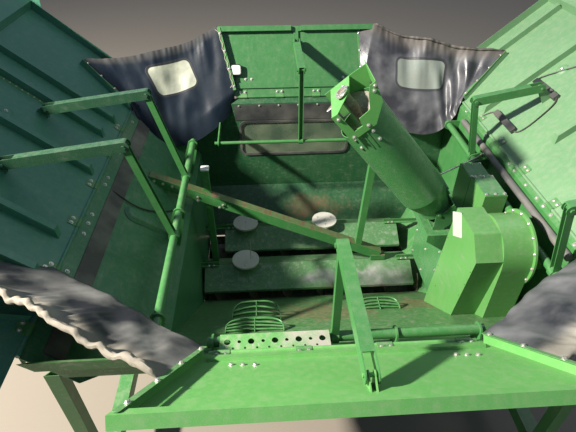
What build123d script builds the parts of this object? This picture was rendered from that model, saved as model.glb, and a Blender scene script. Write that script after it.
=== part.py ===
"""Grain tank of a combine harvester with its four folding extensions open.

Millimetres. X points to the right, Y forward and Z up. The origin is in the middle of the tank,
on the underside of the two base rails that bolt to the machine's side frames.
"""
import os
from math import atan2, cos, degrees, hypot, radians, sin
from build123d import *

os.makedirs("parts", exist_ok=True)

# Tank box
half_width = 1400        # hinge lines of the side extensions
half_length = 1312       # hinge lines of the end extensions
rim_height = 1300        # hinge lines above the base rails
ledge_in = 36            # from the end hinge lines to the end walls
sheet = 4                # walls, troughs and covers
gap = 0.3                # between pieces that seat on each other
clear = 8                # between pieces that pass each other

# Base rails and posts
rail_width = 90
rail_depth = 100
rail_wall = 6
rail_x = half_width - 70
rail_rear = ledge_in + 26 - half_length
post_size = 70
post_wall = 5
bolt_hole = 22
bolt_rows = 2200

# Walls in section
hinge_bar = 10
skirt = 60               # outer edge below each hinge line
ledge = 75               # sloping flange inside each hinge line
ridge_x = half_width - 500       # where the left slope meets the lower wall
ridge_z = rim_height - 530
floor_z = 10
floor_left = ridge_x - 38
right_wall_x = half_width - 24
right_knee_z = 0.4 * rim_height
floor_right = right_wall_x - 414
end_wall_y = half_length - ledge_in
rear_knee_z = rim_height - 170
front_knee_z = 400

# Troughs, cross augers and their covers
rear_trough_y = 320
front_trough_y = 810
trough_radius = 168
saddle_z = 62
auger_radius = 140
auger_shaft = 38
auger_pitch = 290
auger_end = 24           # bare shaft at each end of a screw
cover_ridge_z = 238
cover_half = 198
cover_drop = 112
cover_offset = 12
rear_cover = (16 - floor_left, floor_right - 57)
front_cover = (162 - floor_left, floor_right - 57)

# Window in the front wall
window_width = 980
window_height = 330
window_x = -30
window_z = rim_height - 383
window_corner = 60
gasket = 20
glass = 6

# Extensions
ext_sheet = 3
flange = 60
side_tilt = 41.35        # all tilts are rest angles above level, leaning outwards
side_slant = half_width + 14
side_step = 1020
side_lip = 62
side_half = half_length + 296
rib_width = 44
rib_height = 46
bracket_foot = half_length - 216         # along the hinge line
bracket_top = half_length - 22
bracket_slant = 505
bracket_depth = 40
front_tilt = 60
front_slant = 582
front_foot = half_width - 844
front_top = front_foot + 120
rear_tilt = 38
rear_slant = 690
rear_foot = half_width - 794
rear_top = rear_foot + 184
end_rail = 42
centre_rib = 40

# Fold linkages
link_width = 52
link_depth = 60
link_sheet = 5
low_width = 38
low_depth = 40
pivot = 16
bolt_head = 13
head_height = 9
lug_sheet = 5
lug_radius = 17
web_trim = 70            # web left out beside a pivot

# Loading auger
loader_x = half_width - 544
loader_z = rim_height - 249
loader_tilt = 50
loader_end = 890
loader_cone = 170        # the cone ends and the straight tube begins
loader_radius = 158
loader_wall = 5
cone_radius = 110
cone_start = 20
neck = 42
loader_pin = 12
screw_radius = 138
screw_shaft = 30
screw_pitch = 250
loader_sleeve = 90       # the tube's upper half goes on beyond its lower half
head_length = 200        # discharge head beyond the tube's lower half
head_low = 112           # reach of its cheeks below the auger's axis
head_cut = 61            # the tube's lower half ends below this line
crank_pin = 10           # cross bar that the fold rod moves, from the loader's pin
crank_pin_x = 66
crank_pin_z = 135
crank_pin_reach = 160
boot_radius = cone_radius + 6
boot_half = cone_radius + clear
boot_start = 256         # the boot's shell, as angles above level
boot_end = 408
trunk_top = loader_z - boot_radius - loader_wall - 5
trunk_left = floor_right - 50
trunk_foot = 300
trunk_rear = -180
trunk_front = 340

# Fill elevator head and the housing of its drum
head_left = half_width - 530
head_width = 160
drum_y = -480
drum_z = rim_height - 225
drum_radius = 212
drum_length = 175
drum_flange = 235
drum_flange_sheet = 12
neck_radius = 80
neck_z = drum_z - 95

# Fabric corners
cloth = 6
cloth_seat = 1           # middle of the cloth above the bar that holds it
bar_sheet = 5

seat = hinge_bar + gap
ledge_run = ledge * cos(radians(45))
trough_left = -floor_left + gap
trough_right = floor_right - gap
slope_foot = rear_trough_y - trough_radius
front_foot_y = front_trough_y + trough_radius
foot_gap = 2 * sheet     # between the end slopes' feet and the troughs' lips


def side_view(across, at):
    """Plane of a side view: its x is the view's level axis and its y is up."""
    if across == "x":
        return Plane(origin=(0, at, 0), x_dir=(1, 0, 0), z_dir=(0, -1, 0))
    return Plane(origin=(at, 0, 0), x_dir=(0, 1, 0), z_dir=(1, 0, 0))


def save(piece, name):
    piece.label = name
    export_step(piece, "parts/" + name + ".step")


# Inner faces of the walls in section, from the hinge line down
left_face = [
    (-half_width, rim_height - seat),
    (-half_width + ledge_run, rim_height - seat - ledge_run),
    (-ridge_x, ridge_z),
    (-floor_left, floor_z),
]
right_face = [
    (half_width, rim_height - seat),
    (right_wall_x, rim_height - seat - half_width + right_wall_x),
    (right_wall_x, right_knee_z),
    (floor_right, floor_z),
]
rear_face = [
    (-half_length, rim_height - seat),
    (-end_wall_y, rim_height - seat - half_length + end_wall_y),
    (-end_wall_y, rear_knee_z),
    (slope_foot - foot_gap, foot_gap * rear_knee_z / (slope_foot + end_wall_y)),
]
front_face = [
    (half_length, rim_height - seat),
    (end_wall_y, rim_height - seat - half_length + end_wall_y),
    (end_wall_y, front_knee_z),
    (front_foot_y + foot_gap, foot_gap * front_knee_z / (end_wall_y - front_foot_y)),
]


def folded(face, side):
    """Outline of a wall sheet: its inner face, a skirt outside the hinge line, and the thickness."""
    with BuildLine() as outline:
        Polyline((face[0][0], face[0][1] - skirt), *face)
        offset(amount=sheet, side=side)
    return outline.line


def rear_floor(y):
    """Height of the rear slope's inner face."""
    return (slope_foot - y) * rear_knee_z / (slope_foot + end_wall_y)


# Space inside the side walls, which trims the end walls and the floor
with BuildPart() as inside:
    with BuildSketch(Plane.XZ):
        Polygon(
            (-half_width, rim_height + seat),
            *[(x, z) for x, z in left_face],
            (-floor_left, -2 * trough_radius),
            (floor_right, -2 * trough_radius),
            *[(x, z) for x, z in reversed(right_face)],
            (half_width, rim_height + seat),
            align=None,
        )
        offset(amount=-gap)
    extrude(amount=2 * half_length, both=True)

# Base frame: two rails with bolt holes, posts and cross beams
front_post_y = end_wall_y + sheet + gap + post_size / 2
rear_post_y = rail_rear + post_size / 2
rail_front = front_post_y + post_size / 2
with BuildPart() as base_frame:
    with Locations((rail_x, (rail_rear + rail_front) / 2, rail_depth / 2), (-rail_x, (rail_rear + rail_front) / 2, rail_depth / 2)):
        Box(rail_width, rail_front - rail_rear, rail_depth)
        Box(rail_width - 2 * rail_wall, rail_front - rail_rear + 2, rail_depth - 2 * rail_wall, mode=Mode.SUBTRACT)
    post_height = rim_height - seat - skirt - gap - rail_depth
    with Locations(*[(x, front_post_y, rail_depth + post_height / 2) for x in (rail_x, -rail_x)]):
        Box(post_size, post_size, post_height)
    rear_post_height = rear_floor(rear_post_y - post_size / 2) - rail_depth
    with Locations(*[(x, rear_post_y, rail_depth + rear_post_height / 2) for x in (rail_x, -rail_x)]):
        Box(post_size, post_size, rear_post_height)
        Box(post_size - 2 * post_wall, post_size - 2 * post_wall, rear_post_height, mode=Mode.SUBTRACT)
    with Locations(*[(x, front_post_y, rail_depth + post_height / 2) for x in (rail_x, -rail_x)]):
        Box(post_size - 2 * post_wall, post_size - 2 * post_wall, post_height, mode=Mode.SUBTRACT)
    with Locations((0, front_post_y, rail_depth / 2), (0, rear_post_y, rail_depth / 2)):
        Box(2 * rail_x - rail_width, post_size, post_size)
        Box(
            2 * rail_x - rail_width + 3 * rail_wall,
            post_size - 2 * post_wall,
            post_size - 2 * post_wall,
            mode=Mode.SUBTRACT,
        )
    with BuildSketch(side_view("y", 0)):
        Polygon(
            (-end_wall_y - 200, rear_floor(-end_wall_y - 200) - sheet * 1.5 - gap),
            (rear_post_y + post_size, rear_floor(rear_post_y + post_size) - sheet * 1.5 - gap),
            (rear_post_y + post_size, rim_height + 400),
            (-end_wall_y - 200, rim_height + 400),
            align=None,
        )
    extrude(amount=2 * half_width, both=True, mode=Mode.SUBTRACT)
    with BuildSketch(Plane.XY.offset(-1)):
        with Locations(*[(x, y) for x in (rail_x, -rail_x) for y in (bolt_rows / 2, -bolt_rows / 2)]):
            Circle(bolt_hole / 2)
    extrude(amount=rail_wall + 2, mode=Mode.SUBTRACT)
save(base_frame.part, "base_frame")

# Regions below the rear and the front slope, where the side walls are cut away
trim = 30
under_rear = [
    (-half_length - 10, rear_knee_z - trim),
    (-end_wall_y - trim, rear_knee_z - trim),
    (slope_foot - trim, -trim),
    (slope_foot - trim, -2 * trough_radius),
    (-half_length - 10, -2 * trough_radius),
]
under_front = [
    (half_length + 10, front_knee_z - trim),
    (end_wall_y + trim, front_knee_z - trim),
    (front_foot_y + trim, -trim),
    (front_foot_y + trim, -2 * trough_radius),
    (half_length + 10, -2 * trough_radius),
]

# Side walls: the left one is a long slope, the right one stands upright beside the fill elevator
for name, face, side in (("wall_left", left_face, Side.RIGHT), ("wall_right", right_face, Side.LEFT)):
    with BuildPart() as wall:
        with BuildSketch(Plane.XZ):
            make_face(folded(face, side).edges())
        extrude(amount=end_wall_y + sheet, both=True)
        for region in (under_rear, under_front):
            with BuildSketch(side_view("y", 0)):
                Polygon(*region, align=None)
            extrude(amount=2 * half_width, both=True, mode=Mode.SUBTRACT)
    save(wall.part, name)

# Rear wall: a short upright above the long slope
with BuildPart() as wall_rear:
    with BuildSketch(side_view("y", 0)):
        make_face(folded(rear_face, Side.RIGHT).edges())
    extrude(amount=half_width, both=True)
    add(inside.part, mode=Mode.INTERSECT)
save(wall_rear.part, "wall_rear")

# Front wall with the cab window's cut-out
with BuildPart() as wall_front:
    with BuildSketch(side_view("y", 0)):
        make_face(folded(front_face, Side.LEFT).edges())
    extrude(amount=half_width, both=True)
    add(inside.part, mode=Mode.INTERSECT)
    with BuildSketch(Plane.XZ.offset(-end_wall_y + 5)):
        with Locations((window_x, window_z)):
            RectangleRounded(window_width, window_height, window_corner)
    extrude(amount=-20, mode=Mode.SUBTRACT)
save(wall_front.part, "wall_front")

# Window pane and its rubber gasket
with BuildPart() as window_glass:
    with BuildSketch(Plane.XZ.offset(-end_wall_y)):
        with Locations((window_x, window_z)):
            RectangleRounded(window_width - 2 * gap, window_height - 2 * gap, window_corner - gap)
    extrude(amount=-glass)
save(window_glass.part, "window_glass")

with BuildPart() as window_gasket:
    with BuildSketch(Plane.XZ.offset(-end_wall_y + gap)):
        with Locations((window_x, window_z)):
            RectangleRounded(window_width + gasket, window_height + gasket, window_corner + gasket / 2)
            RectangleRounded(window_width - gasket, window_height - gasket, window_corner - gasket / 2, mode=Mode.SUBTRACT)
    extrude(amount=glass * 2)
save(window_gasket.part, "window_gasket")

# Troughs: two half-round channels with a saddle between them and an end plate at each side
with BuildPart() as floor_troughs:
    with BuildSketch(side_view("y", 0)):
        with BuildLine():
            rear_arc = ThreePointArc((slope_foot, 0), (rear_trough_y, -trough_radius), (rear_trough_y + trough_radius, 0))
            rise = Line(rear_arc @ 1, ((rear_trough_y + front_trough_y) / 2, saddle_z))
            fall = Line(rise @ 1, (front_trough_y - trough_radius, 0))
            ThreePointArc(fall @ 1, (front_trough_y, -trough_radius), (front_foot_y, 0))
            offset(amount=sheet, side=Side.RIGHT)
        make_face()
    extrude(amount=(trough_right - trough_left) / 2, both=True)
trough_shift = (trough_right + trough_left) / 2
with BuildPart() as troughs:
    with Locations((trough_shift, 0, 0)):
        add(floor_troughs.part)
    for x, way in ((trough_left, 1), (trough_right, -1)):
        with BuildSketch(side_view("y", x)):
            with Locations((rear_trough_y, 0), (front_trough_y, 0)):
                Circle(trough_radius + sheet)
            with Locations(((rear_trough_y + front_trough_y) / 2, trough_radius / 2 + floor_z)):
                Rectangle(4 * trough_radius, trough_radius, mode=Mode.SUBTRACT)
            with Locations(((rear_trough_y + front_trough_y) / 2, floor_z / 2 - 20)):
                Rectangle(front_trough_y - rear_trough_y, floor_z + 40)
        extrude(amount=way * sheet)
save(troughs.part, "floor_troughs")

# Cross augers: a shaft with a screw flight, one in each trough
auger_left = trough_left + sheet + gap
auger_right = trough_right - sheet - gap
for name, y in (("cross_auger_rear", rear_trough_y), ("cross_auger_front", front_trough_y)):
    with BuildPart() as auger:
        with BuildSketch(side_view("y", auger_left)):
            with Locations((y, 0)):
                Circle(auger_shaft)
        extrude(amount=auger_right - auger_left)
        with BuildLine():
            turns = Helix(auger_pitch, auger_right - auger_left - 2 * auger_end, auger_shaft, center=(auger_left + auger_end, y, 0), direction=(1, 0, 0))
        radial = (turns @ 0) - Vector(auger_left + auger_end, y, 0)
        with BuildSketch(Plane(origin=turns @ 0, x_dir=radial, z_dir=turns % 0)):
            with Locations(((auger_radius - auger_shaft) / 2 - 3, 0)):
                Rectangle(auger_radius - auger_shaft + 6, sheet + 2)
        sweep(path=turns, is_frenet=True)
    save(auger.part, name)

# Covers over the cross augers, folded like a low roof
for name, y, ends in (("cover_rear", rear_trough_y, rear_cover), ("cover_front", front_trough_y, front_cover)):
    with BuildPart() as cover:
        with BuildSketch(side_view("y", ends[0])):
            with BuildLine():
                Polyline(
                    (y + cover_offset - cover_half, cover_ridge_z - cover_drop - 22),
                    (y + cover_offset - cover_half, cover_ridge_z - cover_drop),
                    (y + cover_offset, cover_ridge_z),
                    (y + cover_offset + cover_half, cover_ridge_z - cover_drop),
                    (y + cover_offset + cover_half, cover_ridge_z - cover_drop - 22),
                )
                offset(amount=sheet, side=Side.RIGHT)
            make_face()
        extrude(amount=ends[1] - ends[0])
    save(cover.part, name)

# Extensions: plane of each one's section, x up the sheet and y out of its inner face
left_hinge = (-half_width, rim_height)
right_hinge = (half_width, rim_height)
front_hinge = (half_length, rim_height)
rear_hinge = (-half_length, rim_height)


def up(tilt):
    return cos(radians(tilt)), sin(radians(tilt))


def section(name, along=0):
    c, s = up({"left": side_tilt, "right": side_tilt, "front": front_tilt, "rear": rear_tilt}[name])
    if name == "left":
        return Plane(origin=(-half_width, along, rim_height), x_dir=(-c, 0, s), z_dir=(0, 1, 0))
    if name == "right":
        return Plane(origin=(half_width, along, rim_height), x_dir=(c, 0, s), z_dir=(0, -1, 0))
    if name == "front":
        return Plane(origin=(along, half_length, rim_height), x_dir=(0, c, s), z_dir=(1, 0, 0))
    return Plane(origin=(along, -half_length, rim_height), x_dir=(0, -c, s), z_dir=(-1, 0, 0))


def sheet_plane(name, height=0):
    """Plane on an extension's inner face: x up the sheet, z out of the face."""
    base = section(name)
    return Plane(origin=base.origin + base.y_dir * height, x_dir=base.x_dir, z_dir=base.y_dir)


def on_sheet(name, point):
    """Distance up the sheet and height above it of a point given in a side view."""
    hinge, tilt, way = {
        "left": (left_hinge, side_tilt, -1),
        "right": (right_hinge, side_tilt, 1),
        "front": (front_hinge, front_tilt, 1),
        "rear": (rear_hinge, rear_tilt, -1),
    }[name]
    c, s = up(tilt)
    u = way * (point[0] - hinge[0])
    z = point[1] - hinge[1]
    return u * c + z * s, z * c - u * s


def from_rim(name, inward, height):
    """Point in a side view, from the hinge line of an extension."""
    if name == "left":
        return (inward - half_width, rim_height + height)
    if name == "right":
        return (half_width - inward, rim_height + height)
    if name == "front":
        return (half_length - inward, rim_height + height)
    return (inward - half_length, rim_height + height)


# Fold linkages in a side view. Columns: level axis of the view, web side, then the foot on the torque
# tube, the elbow and the pivot on the extension, each as inward distance and height from the hinge
# line, then the places of the arms, the tube's radius and its ends
linkage_table = {
    "left": ("x", 1, (502, -208), (332, 445), (-336, 357), (395, -277), 25, (327 - half_length, half_length - 382)),
    "right": ("x", -1, (110, -170), (196, 289), (-250, 380), (500, -765), 25, (372 - half_length, half_length - 252)),
    "front": ("y", -1, (407, -220), (362, 370), (-177, 407), (-5,), 14, (680 - half_width, half_width - 760)),
    "rear": ("y", 1, (262, -270), (282, 340), (-353, 330), (12,), 27, (760 - half_width, half_width - 600)),
}
linkages = {}
for name, (view, web, foot, elbow, hold, arms, radius, ends) in linkage_table.items():
    linkages[name] = (view, web, from_rim(name, *foot), from_rim(name, *elbow), from_rim(name, *hold), arms, radius, ends)


def pivot_lugs(name):
    """Two lugs and a pin on an extension for each arm."""
    view, web, foot, elbow, hold, arms, radius, ends = linkages[name]
    rise, height = on_sheet(name, hold)
    for at in arms:
        for shift in (-lug_sheet * 2.2, lug_sheet * 2.2):
            with BuildSketch(section(name, at + shift)) as lug:
                Polygon((rise - 42, 0), (rise + 42, 0), (rise + lug_radius, height), (rise - lug_radius, height), align=None)
                with Locations((rise, height)):
                    Circle(lug_radius)
            extrude(lug.sketch, amount=lug_sheet / 2, both=True)
        with BuildSketch(section(name, at)) as pin:
            with Locations((rise, height)):
                Circle(pivot / 2)
        extrude(pin.sketch, amount=link_width / 2 + head_height / 2, both=True)


def cloth_bracket(name, foot, top, rise, inner=1):
    """Angle bar on an extension that holds an edge of a fabric corner."""
    with BuildSketch(sheet_plane(name)) as bar:
        Polygon(
            (seat + 14, foot),
            (rise, top),
            (rise, top - inner * bar_sheet),
            (seat + 14, foot - inner * bar_sheet),
            align=None,
        )
    extrude(bar.sketch, amount=bracket_depth)


# Side extensions: a tray with end flanges, a step to the outer lip, ribs and brackets.
# Rib columns: place along the hinge, distance of the rib's end from it
side_ribs = {
    "left": ((800, 60), (550, 90), (100, 45), (-535, 60), (-830, 60)),
    "right": ((1400, 60), (810, 60), (80, 262), (-420, 330), (-860, 60)),
}
for name in ("left", "right"):
    with BuildPart() as extension:
        with BuildSketch(section(name)):
            with BuildLine():
                Polyline(
                    (hinge_bar * 0.8, 0),
                    (side_step, 0),
                    (side_step + 25, side_lip),
                    (side_slant, side_lip),
                    (side_slant, side_lip - flange / 2),
                )
                offset(amount=ext_sheet, side=Side.RIGHT)
            make_face()
        extrude(amount=side_half, both=True)
        with BuildSketch(section(name)):
            Circle(hinge_bar)
        extrude(amount=half_length - 30, both=True)
        for end in (side_half - ext_sheet / 2, -side_half + ext_sheet / 2):
            with BuildSketch(section(name, end)):
                Polygon(
                    (seat + 20, 0),
                    (side_step, 0),
                    (side_step + 25, side_lip),
                    (side_slant, side_lip),
                    (side_slant, side_lip + flange),
                    (side_step - 10, side_lip + flange),
                    (side_step - 60, flange),
                    (seat + 20 + flange, flange),
                    align=None,
                )
            extrude(amount=ext_sheet / 2, both=True)
        for at, start in side_ribs[name]:
            with BuildSketch(section(name, at)):
                Polygon((start, 0), (side_step, 0), (side_step, rib_height), (start + rib_height, rib_height), align=None)
            extrude(amount=rib_width / 2, both=True)
        way = -1 if name == "left" else 1
        for end in (1, -1):
            cloth_bracket(name, way * end * bracket_foot, way * end * bracket_top, bracket_slant, -way * end)
        pivot_lugs(name)
    save(extension.part, "extension_" + name)

stile_start = ledge_in + clear   # stiles begin inside the walls' flanges

# End extensions: a trapezium sheet with rails, slanted stiles and a centre rib
for name, slant, foot, top in (("front", front_slant, front_foot, front_top), ("rear", rear_slant, rear_foot, rear_top)):
    lean = (top - foot) / (slant - seat)
    with BuildPart() as extension:
        with BuildSketch(sheet_plane(name)):
            Polygon((seat - 2, -foot), (slant, -top), (slant, top), (seat - 2, foot), align=None)
        extrude(amount=-ext_sheet)
        with BuildSketch(section(name)):
            Circle(hinge_bar)
        extrude(amount=foot - 20, both=True)
        with BuildSketch(sheet_plane(name)):
            Polygon((slant - end_rail, -top + lean * end_rail), (slant, -top), (slant, top), (slant - end_rail, top - lean * end_rail), align=None)
            for way in (1, -1):
                Polygon(
                    (stile_start, way * foot),
                    (slant, way * top),
                    (slant, way * (top - bar_sheet)),
                    (stile_start, way * (foot - bar_sheet)),
                    align=None,
                )
        extrude(amount=end_rail)
        if name == "front":
            with BuildSketch(sheet_plane(name, 14)):
                with Locations((slant, -linkages[name][5][0])):
                    Rectangle(3 * end_rail, link_width + 4 * clear)
            extrude(amount=end_rail, mode=Mode.SUBTRACT)
        with BuildSketch(sheet_plane(name)):
            with Locations(((slant + 110) / 2, linkages[name][5][0] * (-1 if name == "front" else 1))):
                if name == "front":
                    Rectangle(slant - 110, centre_rib)
            with Locations((95, 0)):
                Rectangle(46, 2 * foot - 60)
        extrude(amount=14)
        pivot_lugs(name)
    save(extension.part, "extension_" + name)


def channel(view, at, a, b, width, depth, web, trim_start=0):
    """Channel section from a to b with round ends, its web on one side, and a bolt hole at each end."""
    base = side_view(view, at)
    length = hypot(b[0] - a[0], b[1] - a[1])
    turn = atan2(b[1] - a[1], b[0] - a[0])
    origin = base.from_local_coords((a[0], a[1], 0))
    frame = Plane(origin=origin, x_dir=base.x_dir * cos(turn) + base.y_dir * sin(turn), z_dir=base.z_dir)
    with BuildSketch(frame) as solid:
        with Locations((length / 2, 0)):
            SlotCenterToCenter(length, depth)
    extrude(solid.sketch, amount=width / 2, both=True)
    with BuildSketch(frame) as hollow:
        with Locations((length / 2, -web * link_sheet)):
            Rectangle(length + 2 * depth, depth)
        if trim_start:
            with Locations((0, 0)):
                Rectangle(2 * trim_start, 2 * depth)
    extrude(hollow.sketch, amount=width / 2 - link_sheet, both=True, mode=Mode.SUBTRACT)
    return frame, length


# Crank on the right torque tube that folds the loading auger through a rod
crank_y = 470
crank_sheet = 12
crank_eye = 12
crank_bolt = 7
crank_reach = 66
crank_turn = 36
crank_end = (
    linkages["right"][2][0] + crank_reach * cos(radians(crank_turn)),
    linkages["right"][2][1] + crank_reach * sin(radians(crank_turn)),
)

# Torque tubes with their lower links, and the upper links that reach to the extensions
for name, (view, web, foot, elbow, hold, arms, radius, ends) in linkages.items():
    with BuildPart() as tube:
        with BuildSketch(side_view(view, 0)):
            with Locations(foot):
                Circle(radius)
        along = -1 if view == "x" else 1
        extrude(amount=along * ends[1])
        with BuildSketch(side_view(view, 0)):
            with Locations(foot):
                Circle(radius)
        extrude(amount=along * ends[0])
        for at in arms:
            frame, length = channel(view, at, foot, elbow, low_width, low_depth, web)
            with BuildSketch(frame):
                with Locations((length, 0)):
                    Circle(bolt_head)
                Circle(radius + 9)
            extrude(amount=low_width / 2, both=True)
            with BuildSketch(frame):
                with Locations((length, 0)):
                    Circle(pivot / 2)
            extrude(amount=low_width, both=True, mode=Mode.SUBTRACT)
        if name == "right":
            with BuildSketch(side_view(view, crank_y)):
                with Locations(foot):
                    Circle(radius + 9)
                with Locations(crank_end):
                    Circle(crank_eye)
                make_hull()
            extrude(amount=crank_sheet / 2, both=True)
            with BuildSketch(side_view(view, crank_y)):
                with Locations(crank_end):
                    Circle(crank_bolt)
            extrude(amount=crank_sheet / 2 + 2 * crank_eye)
    save(tube.part, "torque_tube_" + name)
    with BuildPart() as links:
        for at in arms:
            frame, length = channel(view, at, hold, elbow, link_width, link_depth, web, web_trim)
            with BuildSketch(frame):
                Circle(pivot / 2 + gap)
            extrude(amount=link_width, both=True, mode=Mode.SUBTRACT)
            for way in (1, -1):
                with BuildSketch(frame.offset(way * link_width / 2)):
                    with Locations((length, 0)):
                        RegularPolygon(bolt_head, 6)
                extrude(amount=way * head_height)
    save(links.part, "fold_links_" + name)

# Bearing brackets of the torque tubes. Columns: tube, places along it, then two points of the outline
# behind the wall's face, as inward distance and height from the hinge line
brackets = (
    ("left", (382 - half_length, -40, half_length - 432), ((390, -420), (470, -504))),
    ("right", (412 - half_length, 380, half_length - 292), ((24, -215), (24, -130))),
    ("front", (710 - half_width, half_width - 790), ((36, -260), (36, -180))),
    ("rear", (790 - half_width, 330, half_width - 630), ((202, -360), (312, -450))),
)
with BuildPart() as tube_brackets:
    for name, places, feet in brackets:
        view, web, foot, elbow, hold, arms, radius, ends = linkages[name]
        for at in places:
            with BuildSketch(side_view(view, at)):
                with Locations(foot):
                    Circle(radius + 14)
                with BuildLine():
                    Line(*[from_rim(name, *foot_point) for foot_point in feet])
                make_hull()
                with Locations(foot):
                    Circle(radius + gap, mode=Mode.SUBTRACT)
            extrude(amount=5, both=True)
    with BuildSketch(side_view("x", 0)):
        with BuildLine():
            Polyline(*[(x + gap, z + gap) for x, z in left_face[1:]])
            offset(amount=400, side=Side.RIGHT)
        make_face()
    extrude(amount=2 * half_length, both=True, mode=Mode.SUBTRACT)
    with BuildSketch(side_view("x", 0)):
        with Locations((right_wall_x - gap + 100, 1000)):
            Rectangle(200, 1000)
    extrude(amount=2 * half_length, both=True, mode=Mode.SUBTRACT)
    with BuildSketch(side_view("y", 0)):
        Polygon(
            (-end_wall_y, rear_knee_z + gap * 2),
            (slope_foot, gap * 2),
            (slope_foot, -400),
            (-end_wall_y, -400),
            align=None,
        )
        with Locations((end_wall_y - gap + 100, 1000)):
            Rectangle(200, 1000)
    extrude(amount=2 * half_length, both=True, mode=Mode.SUBTRACT)
save(tube_brackets.part, "tube_brackets")

# Loading auger: tube with its cone, turning on a cross pin in the boot
loader_axis = Vector(-cos(radians(loader_tilt)), 0, sin(radians(loader_tilt)))
loader_foot = Vector(loader_x, 0, loader_z)


def loader_plane(distance):
    return Plane(origin=loader_foot + loader_axis * distance, x_dir=(0, 1, 0), z_dir=loader_axis)


head_face = Plane(origin=loader_foot, x_dir=loader_axis, z_dir=(0, 1, 0))
head_stop = loader_end + head_length
head_notch = [
    (loader_end + 45, -head_cut - 1),
    (loader_end + 44, -6),
    (loader_end + loader_sleeve + 5, 3),
    (loader_end + loader_sleeve + 5, -head_cut - 1),
]
with BuildPart() as loader_tube:
    with BuildSketch(loader_plane(loader_cone)):
        Circle(loader_radius)
    extrude(amount=loader_end + loader_sleeve - loader_cone)
    with BuildSketch(loader_plane(cone_start)):
        Circle(cone_radius)
    with BuildSketch(loader_plane(loader_cone)):
        Circle(loader_radius)
    loft()
    with BuildSketch(loader_plane(loader_cone)):
        Circle(loader_radius - loader_wall)
    extrude(amount=loader_end + loader_sleeve - loader_cone, mode=Mode.SUBTRACT)
    with BuildSketch(head_face):
        with Locations((loader_end + loader_sleeve, -head_cut - loader_radius)):
            Rectangle(2 * loader_sleeve, 2 * loader_radius)
    extrude(amount=loader_radius + 1, both=True, mode=Mode.SUBTRACT)
    with BuildSketch(head_face):
        Polygon(*head_notch, align=None)
    extrude(amount=-loader_radius - 1, mode=Mode.SUBTRACT)
    with BuildSketch(loader_plane(cone_start)):
        Circle(cone_radius - loader_wall)
    with BuildSketch(loader_plane(loader_cone)):
        Circle(loader_radius - loader_wall)
    loft(mode=Mode.SUBTRACT)
    with BuildSketch(loader_plane(cone_start)):
        Circle(cone_radius)
        Circle(cone_radius - loader_wall, mode=Mode.SUBTRACT)
    extrude(amount=-neck)
    with BuildSketch(side_view("x", 0)):
        with Locations((loader_x, loader_z)):
            Circle(loader_pin + gap * 2)
    extrude(amount=cone_radius + loader_wall, both=True, mode=Mode.SUBTRACT)
    bar_along = crank_pin_z * sin(radians(loader_tilt)) - crank_pin_x * cos(radians(loader_tilt))
    bar_out = crank_pin_z * cos(radians(loader_tilt)) + crank_pin_x * sin(radians(loader_tilt))
    with BuildSketch(loader_plane(bar_along - 14)):
        with Locations((0, -(bar_out + cone_radius - loader_wall) / 2)):
            Rectangle(80, bar_out - cone_radius + loader_wall)
    extrude(amount=28)
    with BuildSketch(side_view("x", 0)):
        with Locations((loader_x + crank_pin_x, loader_z + crank_pin_z)):
            Circle(crank_pin)
    extrude(amount=-crank_pin_reach)
save(loader_tube.part, "loading_auger_tube")

# Rod from the crank to the loading auger's cross bar, with an eye at each end
rod_start = Vector(crank_end[0], crank_y - crank_sheet / 2 - crank_eye - 4, crank_end[1])
rod_end = Vector(loader_x + crank_pin_x, crank_pin_reach + clear + crank_eye / 2, loader_z + crank_pin_z)
rod_along = (rod_end - rod_start).normalized()
with BuildPart() as auger_link_rod:
    with BuildSketch(Plane(origin=rod_start, z_dir=rod_along)):
        Circle(crank_bolt)
    extrude(amount=(rod_end - rod_start).length)
    for point in (rod_start, rod_end):
        with BuildSketch(side_view("x", point.Y)):
            with Locations((point.X, point.Z)):
                Circle(crank_eye + 2)
        extrude(amount=crank_eye / 2, both=True)
    with BuildSketch(side_view("x", rod_start.Y)):
        with Locations((rod_start.X, rod_start.Z)):
            Circle(crank_bolt + gap)
    extrude(amount=crank_eye * 2, both=True, mode=Mode.SUBTRACT)
save(auger_link_rod.part, "auger_link_rod")

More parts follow.
